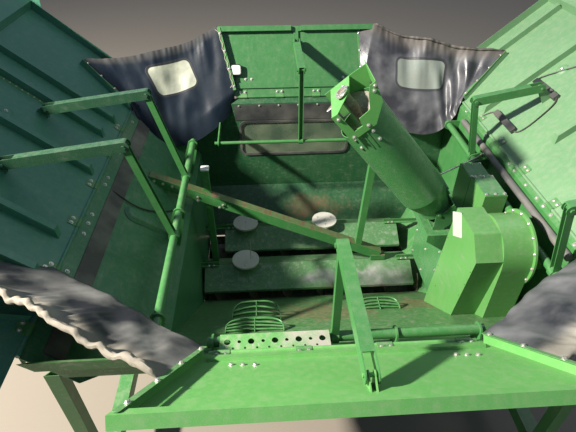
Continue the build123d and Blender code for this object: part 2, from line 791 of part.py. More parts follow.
# Discharge head: two flat cheeks beside the tube's upper end with a hood between them, and an end plate
# with the screw's bearing, cut low on the side of the rear deck. It is open below and above
head_half = loader_radius + gap + loader_wall
head_start = loader_end + gap
hood_low = (loader_end + loader_sleeve + 1, loader_radius + 2)
hood_high = (head_stop + 20, loader_radius + 38)
bearing_radius = 40
bearing_length = 14
far_cheek = [
    (head_start, -head_low),
    (head_stop, -head_low),
    (head_stop, 73),
    (head_stop - 6, hood_high[1] - 10),
    hood_low,
    (head_start, 60),
]
near_cheek = [
    (head_start, -head_low),
    (head_stop + loader_wall, -head_low),
    (head_stop - 4, -head_low + 42),
    *head_notch[:2],
    (loader_end + 95, 3),
    (loader_end + 101, 82),
    (head_stop - 23, 125),
    (hood_high[0], 160),
    hood_high,
    hood_low,
    (head_start, 60),
]
with BuildPart() as discharge_head:
    with BuildSketch(head_face.offset(head_half - loader_wall)):
        Polygon(*far_cheek, align=None)
    extrude(amount=loader_wall)
    with BuildSketch(head_face.offset(-head_half + loader_wall)):
        Polygon(*near_cheek, align=None)
    extrude(amount=-loader_wall)
    with BuildSketch(head_face):
        with BuildLine():
            Polyline(hood_low, hood_high)
            offset(amount=loader_wall / 2, side=Side.BOTH)
        make_face()
    extrude(amount=head_half, both=True)
    with BuildSketch(loader_plane(head_stop)):
        Polygon(
            (head_half, head_low - 45),
            (head_half, -73),
            (0, -bearing_radius),
            (-bearing_radius, -bearing_radius / 2),
            (-head_half, head_low - 40),
            (-head_half, head_low),
            align=None,
        )
    extrude(amount=-loader_wall)
    with BuildSketch(loader_plane(head_stop - loader_wall)):
        Circle(bearing_radius)
    extrude(amount=loader_wall + bearing_length)
    with BuildSketch(loader_plane(head_stop - 2 * loader_wall)):
        Circle(screw_shaft + gap)
    extrude(amount=3 * loader_wall + bearing_length, mode=Mode.SUBTRACT)
save(discharge_head.part, "discharge_head")

# Screw of the loading auger, which runs on into the discharge head
screw_start = loader_cone + 20
screw_stop = head_stop - loader_wall - 20
with BuildPart() as screw:
    with BuildSketch(loader_plane(loader_cone)):
        Circle(screw_shaft)
    extrude(amount=head_stop + bearing_length - loader_cone)
    first = loader_foot + loader_axis * screw_start
    with BuildLine():
        turns = Helix(screw_pitch, screw_stop - screw_start, screw_shaft, center=first, direction=loader_axis)
    radial = (turns @ 0) - first
    with BuildSketch(Plane(origin=turns @ 0, x_dir=radial, z_dir=turns % 0)):
        with Locations(((screw_radius - screw_shaft) / 2 - 3, 0)):
            Rectangle(screw_radius - screw_shaft + 6, sheet + 2)
    sweep(path=turns, is_frenet=True)
save(screw.part, "loading_auger_screw")

# Boot that carries the loading auger, on top of the drive trunk
with BuildPart() as loader_boot:
    with BuildSketch(side_view("x", 0)):
        with Locations((loader_x, loader_z)):
            Circle(boot_radius + loader_wall)
            Circle(boot_radius, mode=Mode.SUBTRACT)
        with BuildLine():
            Polyline(
                (loader_x, loader_z),
                (loader_x + 400 * cos(radians(boot_end)), loader_z + 400 * sin(radians(boot_end))),
                (loader_x - 500, loader_z + 400),
                (loader_x - 500, loader_z - 400),
                (loader_x + 400 * cos(radians(boot_start)), loader_z + 400 * sin(radians(boot_start))),
                close=True,
            )
        make_face(mode=Mode.SUBTRACT)
    extrude(amount=boot_half, both=True)
    for way in (1, -1):
        with BuildSketch(side_view("x", -way * boot_half)):
            with Locations((loader_x, loader_z)):
                Circle(boot_radius + loader_wall)
            with BuildLine():
                Polyline(
                    (loader_x, loader_z),
                    (loader_x + 400 * cos(radians(boot_end)), loader_z + 400 * sin(radians(boot_end))),
                    (loader_x - 500, loader_z + 400),
                    (loader_x - 500, loader_z - 400),
                    (loader_x + 400 * cos(radians(boot_start)), loader_z + 400 * sin(radians(boot_start))),
                    close=True,
                )
            make_face(mode=Mode.SUBTRACT)
            with Locations((loader_x + 18, (loader_z + trunk_top + gap) / 2)):
                Rectangle(80, loader_z - trunk_top - gap)
            with Locations((loader_x, loader_z)):
                Circle(2 * loader_pin)
        extrude(amount=way * loader_wall)
        with BuildSketch(side_view("x", -way * (boot_half + loader_wall + 6))):
            with Locations((loader_x, loader_z)):
                Circle(loader_pin)
        extrude(amount=-way * (boot_half + loader_wall + 6 - cone_radius + 14))
save(loader_boot.part, "loading_auger_boot")

# Drive trunk and gear housings beside the right wall
with BuildPart() as drive_trunk:
    with BuildSketch(side_view("x", trunk_rear)):
        Polygon(
            (trunk_left, trunk_foot),
            (trunk_left, trunk_top - 145),
            (loader_x - 75, trunk_top - 55),
            (loader_x - 75, trunk_top),
            (right_wall_x - gap, trunk_top),
            (right_wall_x - gap, right_knee_z),
            (
                floor_right + (trunk_foot - floor_z) * (right_wall_x - floor_right) / (right_knee_z - floor_z) - 2 * gap,
                trunk_foot,
            ),
            align=None,
        )
    extrude(amount=trunk_rear - trunk_front)
save(drive_trunk.part, "drive_trunk")

# Gear housings of the loading auger, one on each side of the boot
gear_left = half_width - 300
gear_right = half_width - 150
gear_boxes = ((70, trunk_front - 70, rim_height - 85), (trunk_rear + 4, 64, rim_height - 60))
with BuildPart() as gear_housings:
    for rear, front, top in gear_boxes:
        with BuildSketch(Plane.XY.offset(trunk_top + gap)):
            with Locations(((gear_left + gear_right) / 2, (rear + front) / 2)):
                Rectangle(gear_right - gear_left, front - rear)
        extrude(amount=top - trunk_top - gap)
save(gear_housings.part, "gear_housings")

# Fill elevator head: a tall sheet box that stands on the rear slope
head_outline = [
    (drum_y + 177, rim_height - 43),
    (drum_y - 86, rim_height - 30),
    (drum_y - 201, rim_height - 157),
    (drum_y - 122, rear_floor(drum_y - 122) + gap * 2),
    (drum_y + 288, rear_floor(drum_y + 288) + gap * 2),
]
with BuildPart() as elevator_head:
    with BuildSketch(side_view("y", head_left)):
        Polygon(*head_outline, align=None)
    extrude(amount=head_width)
    edges = elevator_head.part.edges().filter_by(Axis.X).group_by(Axis.Z)[-1]
    fillet(edges, 24)
save(elevator_head.part, "elevator_head")

# Housing of the elevator's drive: round above and straight down to the slope, with a bolted flange and
# a bearing neck to the right wall
drum_start = head_left + head_width + gap
drum_stop = drum_start + drum_length
with BuildPart() as elevator_drum:
    with BuildSketch(side_view("y", drum_start)):
        with BuildLine():
            over = ThreePointArc(
                (drum_y - drum_radius, drum_z),
                (drum_y, drum_z + drum_radius),
                (drum_y + drum_radius, drum_z),
            )
            Polyline(
                over @ 1,
                (drum_y + drum_radius, rear_floor(drum_y + drum_radius) + 2 * gap),
                (drum_y - drum_radius, rear_floor(drum_y - drum_radius) + 2 * gap),
                over @ 0,
            )
        make_face()
    extrude(amount=drum_length)
    with BuildSketch(side_view("y", drum_stop)):
        with Locations((drum_y, drum_z)):
            Circle(drum_flange)
        with Locations((drum_y, drum_z - 115 - drum_flange)):
            Rectangle(3 * drum_flange, 2 * drum_flange, mode=Mode.SUBTRACT)
    extrude(amount=drum_flange_sheet)
    with BuildSketch(side_view("y", drum_stop)):
        with Locations((drum_y, neck_z)):
            Circle(neck_radius)
    extrude(amount=right_wall_x - gap - drum_stop)
save(elevator_drum.part, "elevator_drum")

# Post on the rear cover with its cap, and the strut in the middle
post_x = 97 - floor_left
post_y = 470
post_top = rim_height - 210
cover_slope = cover_drop / cover_half


def on_cover(y):
    """Height just above the rear cover's outer face."""
    return cover_ridge_z + gap * 1.5 - abs(y - rear_trough_y - cover_offset) * cover_slope


with BuildPart() as post_left:
    with Locations((post_x, post_y, (post_top + 150) / 2)):
        Box(50, 50, post_top - 150)
    with Locations((post_x, post_y, post_top + 9)):
        Box(60, 60, 18)
    with BuildSketch(side_view("y", 0)):
        Polygon(
            (rear_trough_y + cover_offset, on_cover(rear_trough_y + cover_offset)),
            (rear_trough_y + cover_offset + 300, on_cover(rear_trough_y + cover_offset + 300)),
            (rear_trough_y + cover_offset + 300, -100),
            (rear_trough_y + cover_offset, -100),
            align=None,
        )
    extrude(amount=half_width, both=True, mode=Mode.SUBTRACT)
save(post_left.part, "post_left")

# Cross brace: a folded sheet from the left slope down to the rear cover's ridge, flat on top
brace_high = Vector(217 - half_width, 462, rim_height - 234)
brace_low = Vector(half_width - 760, 345, cover_ridge_z + 68)
brace_along = (brace_low - brace_high).normalized()
brace_side = Vector(0, 0, 1).cross(brace_along).normalized()
brace_back = 42          # top flange and web in section, from the line of the brace
brace_front = -24
brace_top = 16
brace_web = 62
brace_sheet = 6
with BuildPart() as cross_brace:
    with BuildSketch(Plane(origin=brace_high, x_dir=brace_side, z_dir=brace_along)):
        with BuildLine():
            Polyline((brace_back, 2), (brace_back, brace_top), (brace_front, brace_top), (brace_front, -brace_web))
            offset(amount=brace_sheet / 2, side=Side.BOTH)
        make_face()
    extrude(amount=(brace_low - brace_high).length)
    with Locations((brace_low.X - 20, brace_low.Y, (on_cover(rear_trough_y + cover_offset) + 290) / 2)):
        Box(120, 60, 290 - on_cover(rear_trough_y + cover_offset))
    with BuildSketch(side_view("x", 0)):
        with BuildLine():
            Polyline(*[(x + gap * 2, z + gap * 2) for x, z in left_face[1:]])
            offset(amount=400, side=Side.RIGHT)
        make_face()
    extrude(amount=2 * half_length, both=True, mode=Mode.SUBTRACT)
    with Locations((post_x, post_y, post_top / 2)):
        Box(50 + 2 * gap, 50 + 2 * gap, post_top, mode=Mode.SUBTRACT)
save(cross_brace.part, "cross_brace")

# Strut that stands on the brace
strut_top = rim_height - 130
strut_along = Vector(39, 22, 698).normalized()
strut_turn = (half_width - 957 - brace_high.X) / (brace_low.X - brace_high.X)
strut_foot = brace_high + (brace_low - brace_high) * strut_turn
with BuildPart() as strut_centre:
    with BuildSketch(Plane(origin=strut_foot - strut_along * 60, x_dir=(1, 0, 0), z_dir=strut_along)):
        Rectangle(50, 50)
        Rectangle(42, 42, mode=Mode.SUBTRACT)
    extrude(amount=60 + strut_top - strut_foot.Z)
    with BuildSketch(Plane(origin=brace_high, x_dir=brace_side, z_dir=brace_along)):
        with Locations((0, brace_top + brace_sheet / 2 + gap - 200)):
            Rectangle(400, 400)
    extrude(amount=(brace_low - brace_high).length, mode=Mode.SUBTRACT)
save(strut_centre.part, "strut_centre")

# Hangers that hold the covers' ends to the side walls
with BuildPart() as cover_hangers:
    for y, ends in ((rear_trough_y + cover_offset, rear_cover), (front_trough_y + cover_offset, front_cover)):
        low = cover_ridge_z + gap
        left_at = -floor_left - (low - floor_z) * (ridge_x - floor_left) / (ridge_z - floor_z)
        right_at = floor_right + (low - floor_z) * (right_wall_x - floor_right) / (right_knee_z - floor_z)
        for start, end in ((left_at, ends[0] + 90), (ends[1] - 90, right_at)):
            with BuildSketch(Plane.XY.offset(low)):
                with Locations(((start + end) / 2, y)):
                    Rectangle(end - start + 60, 46)
            extrude(amount=6)
            with BuildSketch(Plane.XY.offset(low)):
                with Locations(((start + end) / 2, y)):
                    Rectangle(end - start + 60, 6)
            extrude(amount=34)
    for face, side in ((left_face, Side.RIGHT), (right_face, Side.LEFT)):
        with BuildSketch(side_view("x", 0)):
            with BuildLine():
                Polyline(*[(x * (1 - gap * 2 / half_width), z + gap * 2) for x, z in face[1:]])
                offset(amount=400, side=side)
            make_face()
        extrude(amount=2 * half_length, both=True, mode=Mode.SUBTRACT)
save(cover_hangers.part, "cover_hangers")

# Level sensors: discs on small stands at the covers' ridges
sensor_places = [
    (356 - floor_left, front_trough_y + cover_offset - 8),
    (floor_right - 740, front_trough_y + cover_offset - 8),
    (362 - floor_left, rear_trough_y + cover_offset - 8),
]
with BuildPart() as sensor_stands:
    for x, y in sensor_places:
        with Locations((x, y, cover_ridge_z + 20)):
            Box(90, 90, 50)
    for ridge in (rear_trough_y + cover_offset, front_trough_y + cover_offset):
        with BuildSketch(side_view("y", 0)):
            Polygon(
                (ridge, cover_ridge_z + gap * 1.5),
                (ridge + 150, cover_ridge_z + gap * 1.5 - 150 * cover_slope),
                (ridge + 150, 0),
                (ridge - 150, 0),
                (ridge - 150, cover_ridge_z + gap * 1.5 - 150 * cover_slope),
                align=None,
            )
        extrude(amount=half_width, both=True, mode=Mode.SUBTRACT)
save(sensor_stands.part, "sensor_stands")

with BuildPart() as sensor_discs:
    for x, y in sensor_places:
        with Locations((x, y, cover_ridge_z + 45 + gap + 9)):
            Cylinder(112, 18)
save(sensor_discs.part, "sensor_discs")

# Step bar across the rear slope, just above its torque tube, and three step grids lower down
step_x = -296
step_y = 205 - half_length
step_z = linkages["rear"][2][1] + linkages["rear"][6] + clear + 13
step_length = 548
with BuildPart() as step_bar:
    with Locations((step_x, step_y, step_z)):
        Box(step_length, 106, 24)
    with Locations((step_x, step_y, step_z - 6)):
        Box(step_length - 8, 98, 28, mode=Mode.SUBTRACT)
    with Locations((step_x - step_length / 2 + 2, step_y - 19, step_z - 58), (step_x + step_length / 2 - 2, step_y - 19, step_z - 58)):
        Box(4, 68, 140)
    with BuildSketch(side_view("y", 0)):
        Polygon(
            (-end_wall_y, rear_floor(-end_wall_y) + gap * 2),
            (slope_foot, gap * 2),
            (slope_foot, -400),
            (-end_wall_y, -400),
            align=None,
        )
    extrude(amount=half_width, both=True, mode=Mode.SUBTRACT)
save(step_bar.part, "step_bar")

# Columns: middle along X, height, width, reach from the slope
grids = ((-405, 550, 330, 183), (-410, 720, 360, 108), (475, 420, 290, 119))
with BuildPart() as step_grids:
    for x, z, width, reach in grids:
        root = slope_foot - (z + 12) * (slope_foot + end_wall_y) / rear_knee_z
        with Locations((x - width / 2, root + reach / 2 - 12, z), (x + width / 2, root + reach / 2 - 12, z)):
            Box(8, reach + 24, 24)
        with Locations(*[(x, root + reach * k, z) for k in (0.12, 0.4, 0.7, 1)]):
            Box(width, 8, 20)
    with BuildSketch(side_view("y", 0)):
        Polygon(
            (-end_wall_y, rear_floor(-end_wall_y) + gap * 2),
            (slope_foot, gap * 2),
            (slope_foot, -400),
            (-end_wall_y, -400),
            align=None,
        )
    extrude(amount=half_width, both=True, mode=Mode.SUBTRACT)
save(step_grids.part, "step_grids")

# Rubber seals inside the side hinges, and the flap at the front hinge
slope_turn = atan2(left_face[1][1] - left_face[2][1], left_face[1][0] - left_face[2][0])
seal_down = Vector(left_face[2][0] - left_face[1][0], 0, left_face[2][1] - left_face[1][1]).normalized()
seal_out = Vector(-seal_down.Z, 0, seal_down.X)
seal_start = Vector(left_face[1][0], 0, left_face[1][1]) + seal_down * 12 + seal_out * gap
with BuildPart() as seal_left:
    with BuildSketch(Plane(origin=seal_start, x_dir=seal_down, z_dir=(0, -1, 0))):
        with Locations((52, 3)):
            Rectangle(105, 6)
    extrude(amount=end_wall_y - 60, both=True)
save(seal_left.part, "seal_left")

roll_radius = 24
roll_z = rim_height - 78
with BuildPart() as seal_right:
    with BuildSketch(side_view("x", 0)):
        with Locations((right_wall_x - gap - roll_radius, roll_z)):
            Circle(roll_radius)
    extrude(amount=half_length - 562)
    with BuildSketch(side_view("x", 0)):
        with Locations((right_wall_x - gap - roll_radius, roll_z)):
            Circle(roll_radius)
    extrude(amount=412 - half_length)
save(seal_right.part, "seal_right")

with BuildPart() as front_flap:
    with Locations((0, end_wall_y - gap - 2, rim_height - 128)):
        Box(2 * front_foot + 8, 4, 146)
save(front_flap.part, "front_flap")

# Work light on the front extension
with BuildPart() as work_light:
    light = sheet_plane("front", gap)
    with BuildSketch(light):
        with Locations((225, front_foot - 27)):
            RectangleRounded(92, 92, 16)
    extrude(amount=40)
save(work_light.part, "work_light")

# Fabric corners: each corner is split at its seam into a half on the side extension and a half on
# the end extension
def sheet_point(name, rise, along, height):
    return section(name, along).from_local_coords((rise, height + gap + cloth_seat, 0))


def stile(end, rise):
    """Distance along the hinge from its middle to the outer edge of an end extension's stile."""
    foot, top, slant = {"front": (front_foot, front_top, front_slant), "rear": (rear_foot, rear_top, rear_slant)}[end]
    return foot + (top - foot) * (rise - stile_start) / (slant - stile_start)


def beside_bar(name, low, high, inner, depth):
    """Cut a bar and the gap around it out of the cloth that lies on it; low and high are its ends."""
    with BuildSketch(sheet_plane(name)) as bar:
        Polygon(low, high, (high[0], high[1] - inner * bar_sheet), (low[0], low[1] - inner * bar_sheet), align=None)
        offset(amount=gap)
    extrude(bar.sketch, amount=depth + gap, mode=Mode.SUBTRACT)


# Columns: side, end, sign of X and of Y, the seam's top and foot as distances from the rim's corner
# (inward across, outward along, up), and the distance up the stile of the hem's end
corner_table = (
    ("left", "front", -1, 1, (246, 138, 375), (320, -262, -288), front_slant),
    ("right", "front", 1, 1, (262, 138, 417), (280, -232, -288), front_slant),
    ("left", "rear", -1, -1, (426, 188, 98), (383, -212, -42), 0.6 * rear_slant),
    ("right", "rear", 1, -1, (390, 168, 120), (341, -212, -20), 0.6 * rear_slant),
)
corners = []


def from_corner(across, along, offsets):
    """Point given as distances from one of the rim's corners."""
    inward, outward, height = offsets
    return Vector(across * (half_width - inward), along * (half_length + outward), rim_height + height)


for side, end, across, along, seam_top, seam_foot, reach in corner_table:
    corners.append((
        side,
        end,
        sheet_point(side, seat + 14, along * (bracket_foot + bar_sheet / 2), bracket_depth),
        sheet_point(side, bracket_slant, along * (bracket_top + bar_sheet / 2), bracket_depth),
        from_corner(across, along, seam_top),
        from_corner(across, along, seam_foot),
        sheet_point(end, reach, across * (stile(end, reach) - bar_sheet / 2), end_rail),
        sheet_point(end, stile_start, across * (stile(end, stile_start) - bar_sheet / 2), end_rail),
    ))


def cloth_patch(points):
    """Thin sheet over four points, as two triangles, kept a little away from its seam."""
    a, b, c, d = points
    off = (a + b) * 0.5 - (c + d) * 0.5
    off = off.normalized() * (cloth / 2 + 1)
    c = c + off
    d = d + off
    for p, q, r in ((a, b, c), (a, c, d)):
        along = (q - p).normalized()
        normal = along.cross(r - p).normalized()
        face = Plane(origin=p, x_dir=along, z_dir=normal)
        with BuildSketch(face) as triangle:
            Polygon(*[(face.to_local_coords(v).X, face.to_local_coords(v).Y) for v in (p, q, r)], align=None)
        extrude(triangle.sketch, amount=cloth / 2, both=True)


for side in ("left", "right"):
    with BuildPart() as fabrics:
        for row in corners:
            if row[0] == side:
                cloth_patch(row[2:6])
        way = -1 if side == "left" else 1
        for end in (1, -1):
            beside_bar(
                side,
                (seat + 14, way * end * bracket_foot),
                (bracket_slant, way * end * bracket_top),
                -way * end,
                bracket_depth,
            )
    save(fabrics.part, "side_fabrics_" + side)
for end in ("front", "rear"):
    with BuildPart() as fabrics:
        for row in corners:
            if row[1] == end:
                cloth_patch((row[7], row[6], row[4], row[5]))
        foot, top, slant = {"front": (front_foot, front_top, front_slant), "rear": (rear_foot, rear_top, rear_slant)}[end]
        for way in (1, -1):
            beside_bar(end, (stile_start, way * foot), (slant, way * top), way, end_rail)
    save(fabrics.part, "end_fabrics_" + end)
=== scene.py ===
import math
import random
import bmesh
import bpy
from mathutils import Matrix, Vector, noise


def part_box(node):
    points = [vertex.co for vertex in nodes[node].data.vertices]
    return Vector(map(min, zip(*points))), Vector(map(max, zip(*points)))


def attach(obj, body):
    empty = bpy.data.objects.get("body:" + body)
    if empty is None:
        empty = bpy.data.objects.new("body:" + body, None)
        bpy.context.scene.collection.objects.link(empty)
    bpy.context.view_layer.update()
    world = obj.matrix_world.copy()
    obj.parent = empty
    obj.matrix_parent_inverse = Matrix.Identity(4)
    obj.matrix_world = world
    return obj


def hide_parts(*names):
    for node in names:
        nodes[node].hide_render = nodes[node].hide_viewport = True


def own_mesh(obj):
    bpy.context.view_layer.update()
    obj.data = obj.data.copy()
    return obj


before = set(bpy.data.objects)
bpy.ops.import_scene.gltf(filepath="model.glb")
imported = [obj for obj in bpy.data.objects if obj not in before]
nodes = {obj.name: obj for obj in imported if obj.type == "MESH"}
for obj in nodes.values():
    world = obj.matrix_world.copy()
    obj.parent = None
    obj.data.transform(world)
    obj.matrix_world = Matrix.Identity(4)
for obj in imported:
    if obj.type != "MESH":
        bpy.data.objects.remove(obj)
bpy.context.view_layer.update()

# Studio: the tank stands over a pale floor, lit by a soft lamp above its left rear corner and a pale
# sky, and is seen from the deck behind it, looking forward and down.
world = bpy.data.worlds.new("pale_sky")
world.use_nodes = True
world.node_tree.nodes["Background"].inputs["Color"].default_value = (0.58, 0.74, 1.0, 1)
world.node_tree.nodes["Background"].inputs["Strength"].default_value = 0.34
bpy.context.scene.world = world
bpy.context.scene.view_settings.view_transform = "Standard"


def soft_lamp(name, place, target, size, power, tone):
    data = bpy.data.lights.new(name, "AREA")
    data.shape = "DISK"
    data.size = size
    data.energy = power
    data.color = tone
    lamp = bpy.data.objects.new(name, data)
    lamp.location = place
    lamp.rotation_euler = (Vector(target) - Vector(place)).to_track_quat("-Z", "Y").to_euler()
    bpy.context.scene.collection.objects.link(lamp)


soft_lamp("key_lamp", (-6.9, -1.6, 6.2), (0.2, 0.1, 0.7), 0.5, 2900, (1.0, 0.95, 0.86))
soft_lamp("fill_lamp", (4.5, 2.5, 6.0), (-0.5, 0, 0.8), 4.0, 70, (0.92, 0.96, 1.0))

floor_mesh = bpy.data.meshes.new("floor")
floor_mesh.from_pydata([(-30, -30, -0.24), (30, -30, -0.24), (30, 30, -0.24), (-30, 30, -0.24)], [], [(0, 1, 2, 3)])
floor = bpy.data.objects.new("floor", floor_mesh)
bpy.context.scene.collection.objects.link(floor)
floor_paint = bpy.data.materials.new("pale_floor")
floor_paint.use_nodes = True
floor_paint.node_tree.nodes["Principled BSDF"].inputs["Base Color"].default_value = (0.21, 0.18, 0.145, 1)
floor_paint.node_tree.nodes["Principled BSDF"].inputs["Roughness"].default_value = 0.9
floor_mesh.materials.append(floor_paint)

lens = bpy.data.cameras.new("deck_camera")
lens.sensor_width = 36
lens.lens = 29.174
lens.clip_end = 100
camera = bpy.data.objects.new("deck_camera", lens)
camera.matrix_world = Matrix((
    (0.99820, 0.03603, -0.04801, -0.3209),
    (-0.06001, 0.61852, -0.78348, -2.539),
    (0.00147, 0.78494, 0.61956, 3.0076),
    (0, 0, 0, 1),
))
bpy.context.scene.collection.objects.link(camera)
bpy.context.scene.camera = camera


# Base frame: square and channel tube, welded, under green enamel that has dulled and gathered dust.
# The finish is a shader group for grain wear, dust and rust that the other sheet pieces use too.
def wire(tree, *pairs):
    for a, b in pairs:
        tree.links.new(a, b)


def put(tree, kind, values=(), **settings):
    """Adds a node. values pairs its inputs, by name or number, with a constant or another's output."""
    node = tree.nodes.new(kind)
    for key, value in settings.items():
        setattr(node, key, value)
    for key, value in values:
        if isinstance(value, bpy.types.NodeSocket):
            tree.links.new(value, node.inputs[key])
        else:
            node.inputs[key].default_value = value
    return node


def maths(tree, operation, a, b, clamp=False):
    return put(tree, "ShaderNodeMath", ((0, a), (1, b)), operation=operation, use_clamp=clamp).outputs[0]


def speckle(tree, coords, scale, detail, low, high, stretch=None):
    """Noise cut to the range low to high, as a mask from 0 to 1."""
    if stretch:
        coords = put(tree, "ShaderNodeMapping", (("Vector", coords), ("Scale", stretch))).outputs[0]
    field = put(tree, "ShaderNodeTexNoise", (("Vector", coords), ("Scale", scale), ("Detail", detail), ("Roughness", 0.45)))
    return put(
        tree, "ShaderNodeMapRange", (("Value", field.outputs["Fac"]), ("From Min", low), ("From Max", high)),
    ).outputs[0]


def blend_colour(tree, fac, a, b):
    return put(tree, "ShaderNodeMix", ((0, fac), (6, a), (7, b)), data_type="RGBA").outputs[2]


enamel = bpy.data.node_groups.new("weathered_enamel", "ShaderNodeTree")
for label, kind, value in (
    ("Paint", "NodeSocketColor", (0.05, 0.2, 0.05, 1)),
    ("Under", "NodeSocketColor", (0.30, 0.28, 0.25, 1)),
    ("Wear", "NodeSocketFloat", 0.2),
    ("Dust", "NodeSocketFloat", 0.3),
    ("Rust", "NodeSocketFloat", 0.0),
    ("Gloss", "NodeSocketFloat", 0.35),
    ("Polished", "NodeSocketFloat", 0.0),
    ("Stained", "NodeSocketFloat", 0.0),
):
    socket = enamel.interface.new_socket(label, in_out="INPUT", socket_type=kind)
    socket.default_value = value
for label, kind in (
    ("Color", "NodeSocketColor"),
    ("Metallic", "NodeSocketFloat"),
    ("Roughness", "NodeSocketFloat"),
    ("Normal", "NodeSocketVector"),
):
    enamel.interface.new_socket(label, in_out="OUTPUT", socket_type=kind)
given = enamel.nodes.new("NodeGroupInput").outputs
result = enamel.nodes.new("NodeGroupOutput").inputs
place = enamel.nodes.new("ShaderNodeTexCoord").outputs["Object"]
facing = enamel.nodes.new("ShaderNodeNewGeometry").outputs["Normal"]
upward = put(enamel, "ShaderNodeSeparateXYZ", ((0, facing),)).outputs["Z"]
cloudy = speckle(enamel, place, 1.7, 3, 0.38, 0.66)
mottle = speckle(enamel, place, 11.0, 7, 0.36, 0.68)
scuff = speckle(enamel, place, 26.0, 8, 0.52, 0.66, (1.0, 0.3, 1.8))
chips = speckle(enamel, place, 70.0, 5, 0.62, 0.66)
grit = speckle(enamel, place, 260.0, 3, 0.46, 0.72)
streaks = speckle(enamel, place, 34.0, 5, 0.42, 0.70, (1.0, 1.0, 0.12))
tone = blend_colour(enamel, maths(enamel, "MULTIPLY", cloudy, 0.14), given["Paint"], (0.008, 0.060, 0.022, 1))
tone = blend_colour(enamel, maths(enamel, "MULTIPLY", mottle, 0.06), tone, (0.14, 0.30, 0.12, 1))
worn = maths(enamel, "MULTIPLY", maths(enamel, "MULTIPLY", scuff, mottle), given["Wear"], True)
broken = maths(enamel, "MULTIPLY", given["Polished"], maths(enamel, "ADD", maths(enamel, "MULTIPLY", mottle, 0.6), 0.35))
worn = maths(enamel, "ADD", worn, broken, True)
worn = maths(enamel, "ADD", worn, maths(enamel, "MULTIPLY", chips, maths(enamel, "MULTIPLY", given["Wear"], 0.6)), True)
tone = blend_colour(enamel, worn, tone, given["Under"])
rusty = maths(enamel, "MULTIPLY", maths(enamel, "MULTIPLY", mottle, cloudy), given["Rust"], True)
stain = maths(enamel, "MULTIPLY", given["Stained"], maths(enamel, "ADD", maths(enamel, "MULTIPLY", scuff, 0.5), 0.4))
rusty = maths(enamel, "ADD", rusty, stain, True)
tone = blend_colour(enamel, rusty, tone, (0.135, 0.055, 0.024, 1))
lying = put(enamel, "ShaderNodeMapRange", (("Value", upward), ("From Min", 0.1), ("From Max", 0.95))).outputs[0]
settled = maths(enamel, "MULTIPLY", maths(enamel, "ADD", maths(enamel, "MULTIPLY", lying, 0.50), 0.22), given["Dust"])
settled = maths(
    enamel, "MULTIPLY", settled,
    maths(enamel, "ADD", maths(enamel, "MULTIPLY", grit, 0.55), maths(enamel, "MULTIPLY", streaks, 0.45)), True,
)
tone = blend_colour(enamel, settled, tone, (0.42, 0.38, 0.29, 1))
rough = maths(enamel, "ADD", given["Gloss"], maths(enamel, "MULTIPLY", maths(enamel, "ADD", settled, rusty), 0.45))
rough = maths(enamel, "ADD", rough, maths(enamel, "MULTIPLY", grit, 0.10), True)
height = maths(enamel, "ADD", maths(enamel, "MULTIPLY", grit, 0.35), maths(enamel, "MULTIPLY", worn, -0.8))
height = maths(enamel, "ADD", height, maths(enamel, "MULTIPLY", rusty, 0.5))
relief = put(enamel, "ShaderNodeBump", (("Height", height), ("Strength", 0.30), ("Distance", 0.0008)))
wire(
    enamel,
    (tone, result["Color"]),
    (maths(enamel, "MULTIPLY", worn, 0.3), result["Metallic"]),
    (rough, result["Roughness"]),
    (relief.outputs[0], result["Normal"]),
)


def patches(tree, places):
    """Mask that is 1 near the given centres and fades out at their reach, with a broken edge."""
    spot = tree.nodes.new("ShaderNodeTexCoord").outputs["Object"]
    ragged = speckle(tree, spot, 7.0, 6, 0.2, 0.8)
    mask = None
    for centre, reach in places:
        away = put(tree, "ShaderNodeVectorMath", ((0, spot), (1, centre)), operation="SUBTRACT").outputs[0]
        away = put(tree, "ShaderNodeVectorMath", ((0, away), (1, reach)), operation="DIVIDE").outputs[0]
        away = put(tree, "ShaderNodeVectorMath", ((0, away),), operation="LENGTH").outputs["Value"]
        away = maths(tree, "ADD", away, maths(tree, "MULTIPLY", ragged, 0.9))
        near = put(tree, "ShaderNodeMapRange", (("Value", away), ("From Min", 1.25), ("From Max", 0.75))).outputs[0]
        mask = near if mask is None else maths(tree, "MAXIMUM", mask, near)
    return mask


def coated(name, paint, wear=0.2, dust=0.3, rust=0.0, gloss=0.35, under=(0.30, 0.28, 0.25, 1), polished=(), stained=()):
    """Enamelled steel with the given wear, dust and rust, all over and in patches."""
    finish = bpy.data.materials.new(name)
    finish.use_nodes = True
    tree = finish.node_tree
    shader = tree.nodes["Principled BSDF"]
    group = tree.nodes.new("ShaderNodeGroup")
    group.node_tree = enamel
    for label, value in (
        ("Paint", (*paint, 1)), ("Under", under), ("Wear", wear), ("Dust", dust), ("Rust", rust), ("Gloss", gloss),
    ):
        group.inputs[label].default_value = value
    for label, places in (("Polished", polished), ("Stained", stained)):
        if places:
            tree.links.new(patches(tree, places), group.inputs[label])
    wire(
        tree,
        (group.outputs["Color"], shader.inputs["Base Color"]),
        (group.outputs["Metallic"], shader.inputs["Metallic"]),
        (group.outputs["Roughness"], shader.inputs["Roughness"]),
        (group.outputs["Normal"], shader.inputs["Normal"]),
    )
    return finish


def dress(finish, *names):
    """Gives CAD nodes a finish."""
    for name in names:
        for held in nodes[name].material_slots:
            held.material = finish


farm_green = (0.034, 0.170, 0.040)
frame_paint = coated("frame_enamel", farm_green, 0.15, 0.45)
dress(frame_paint, "base_frame")


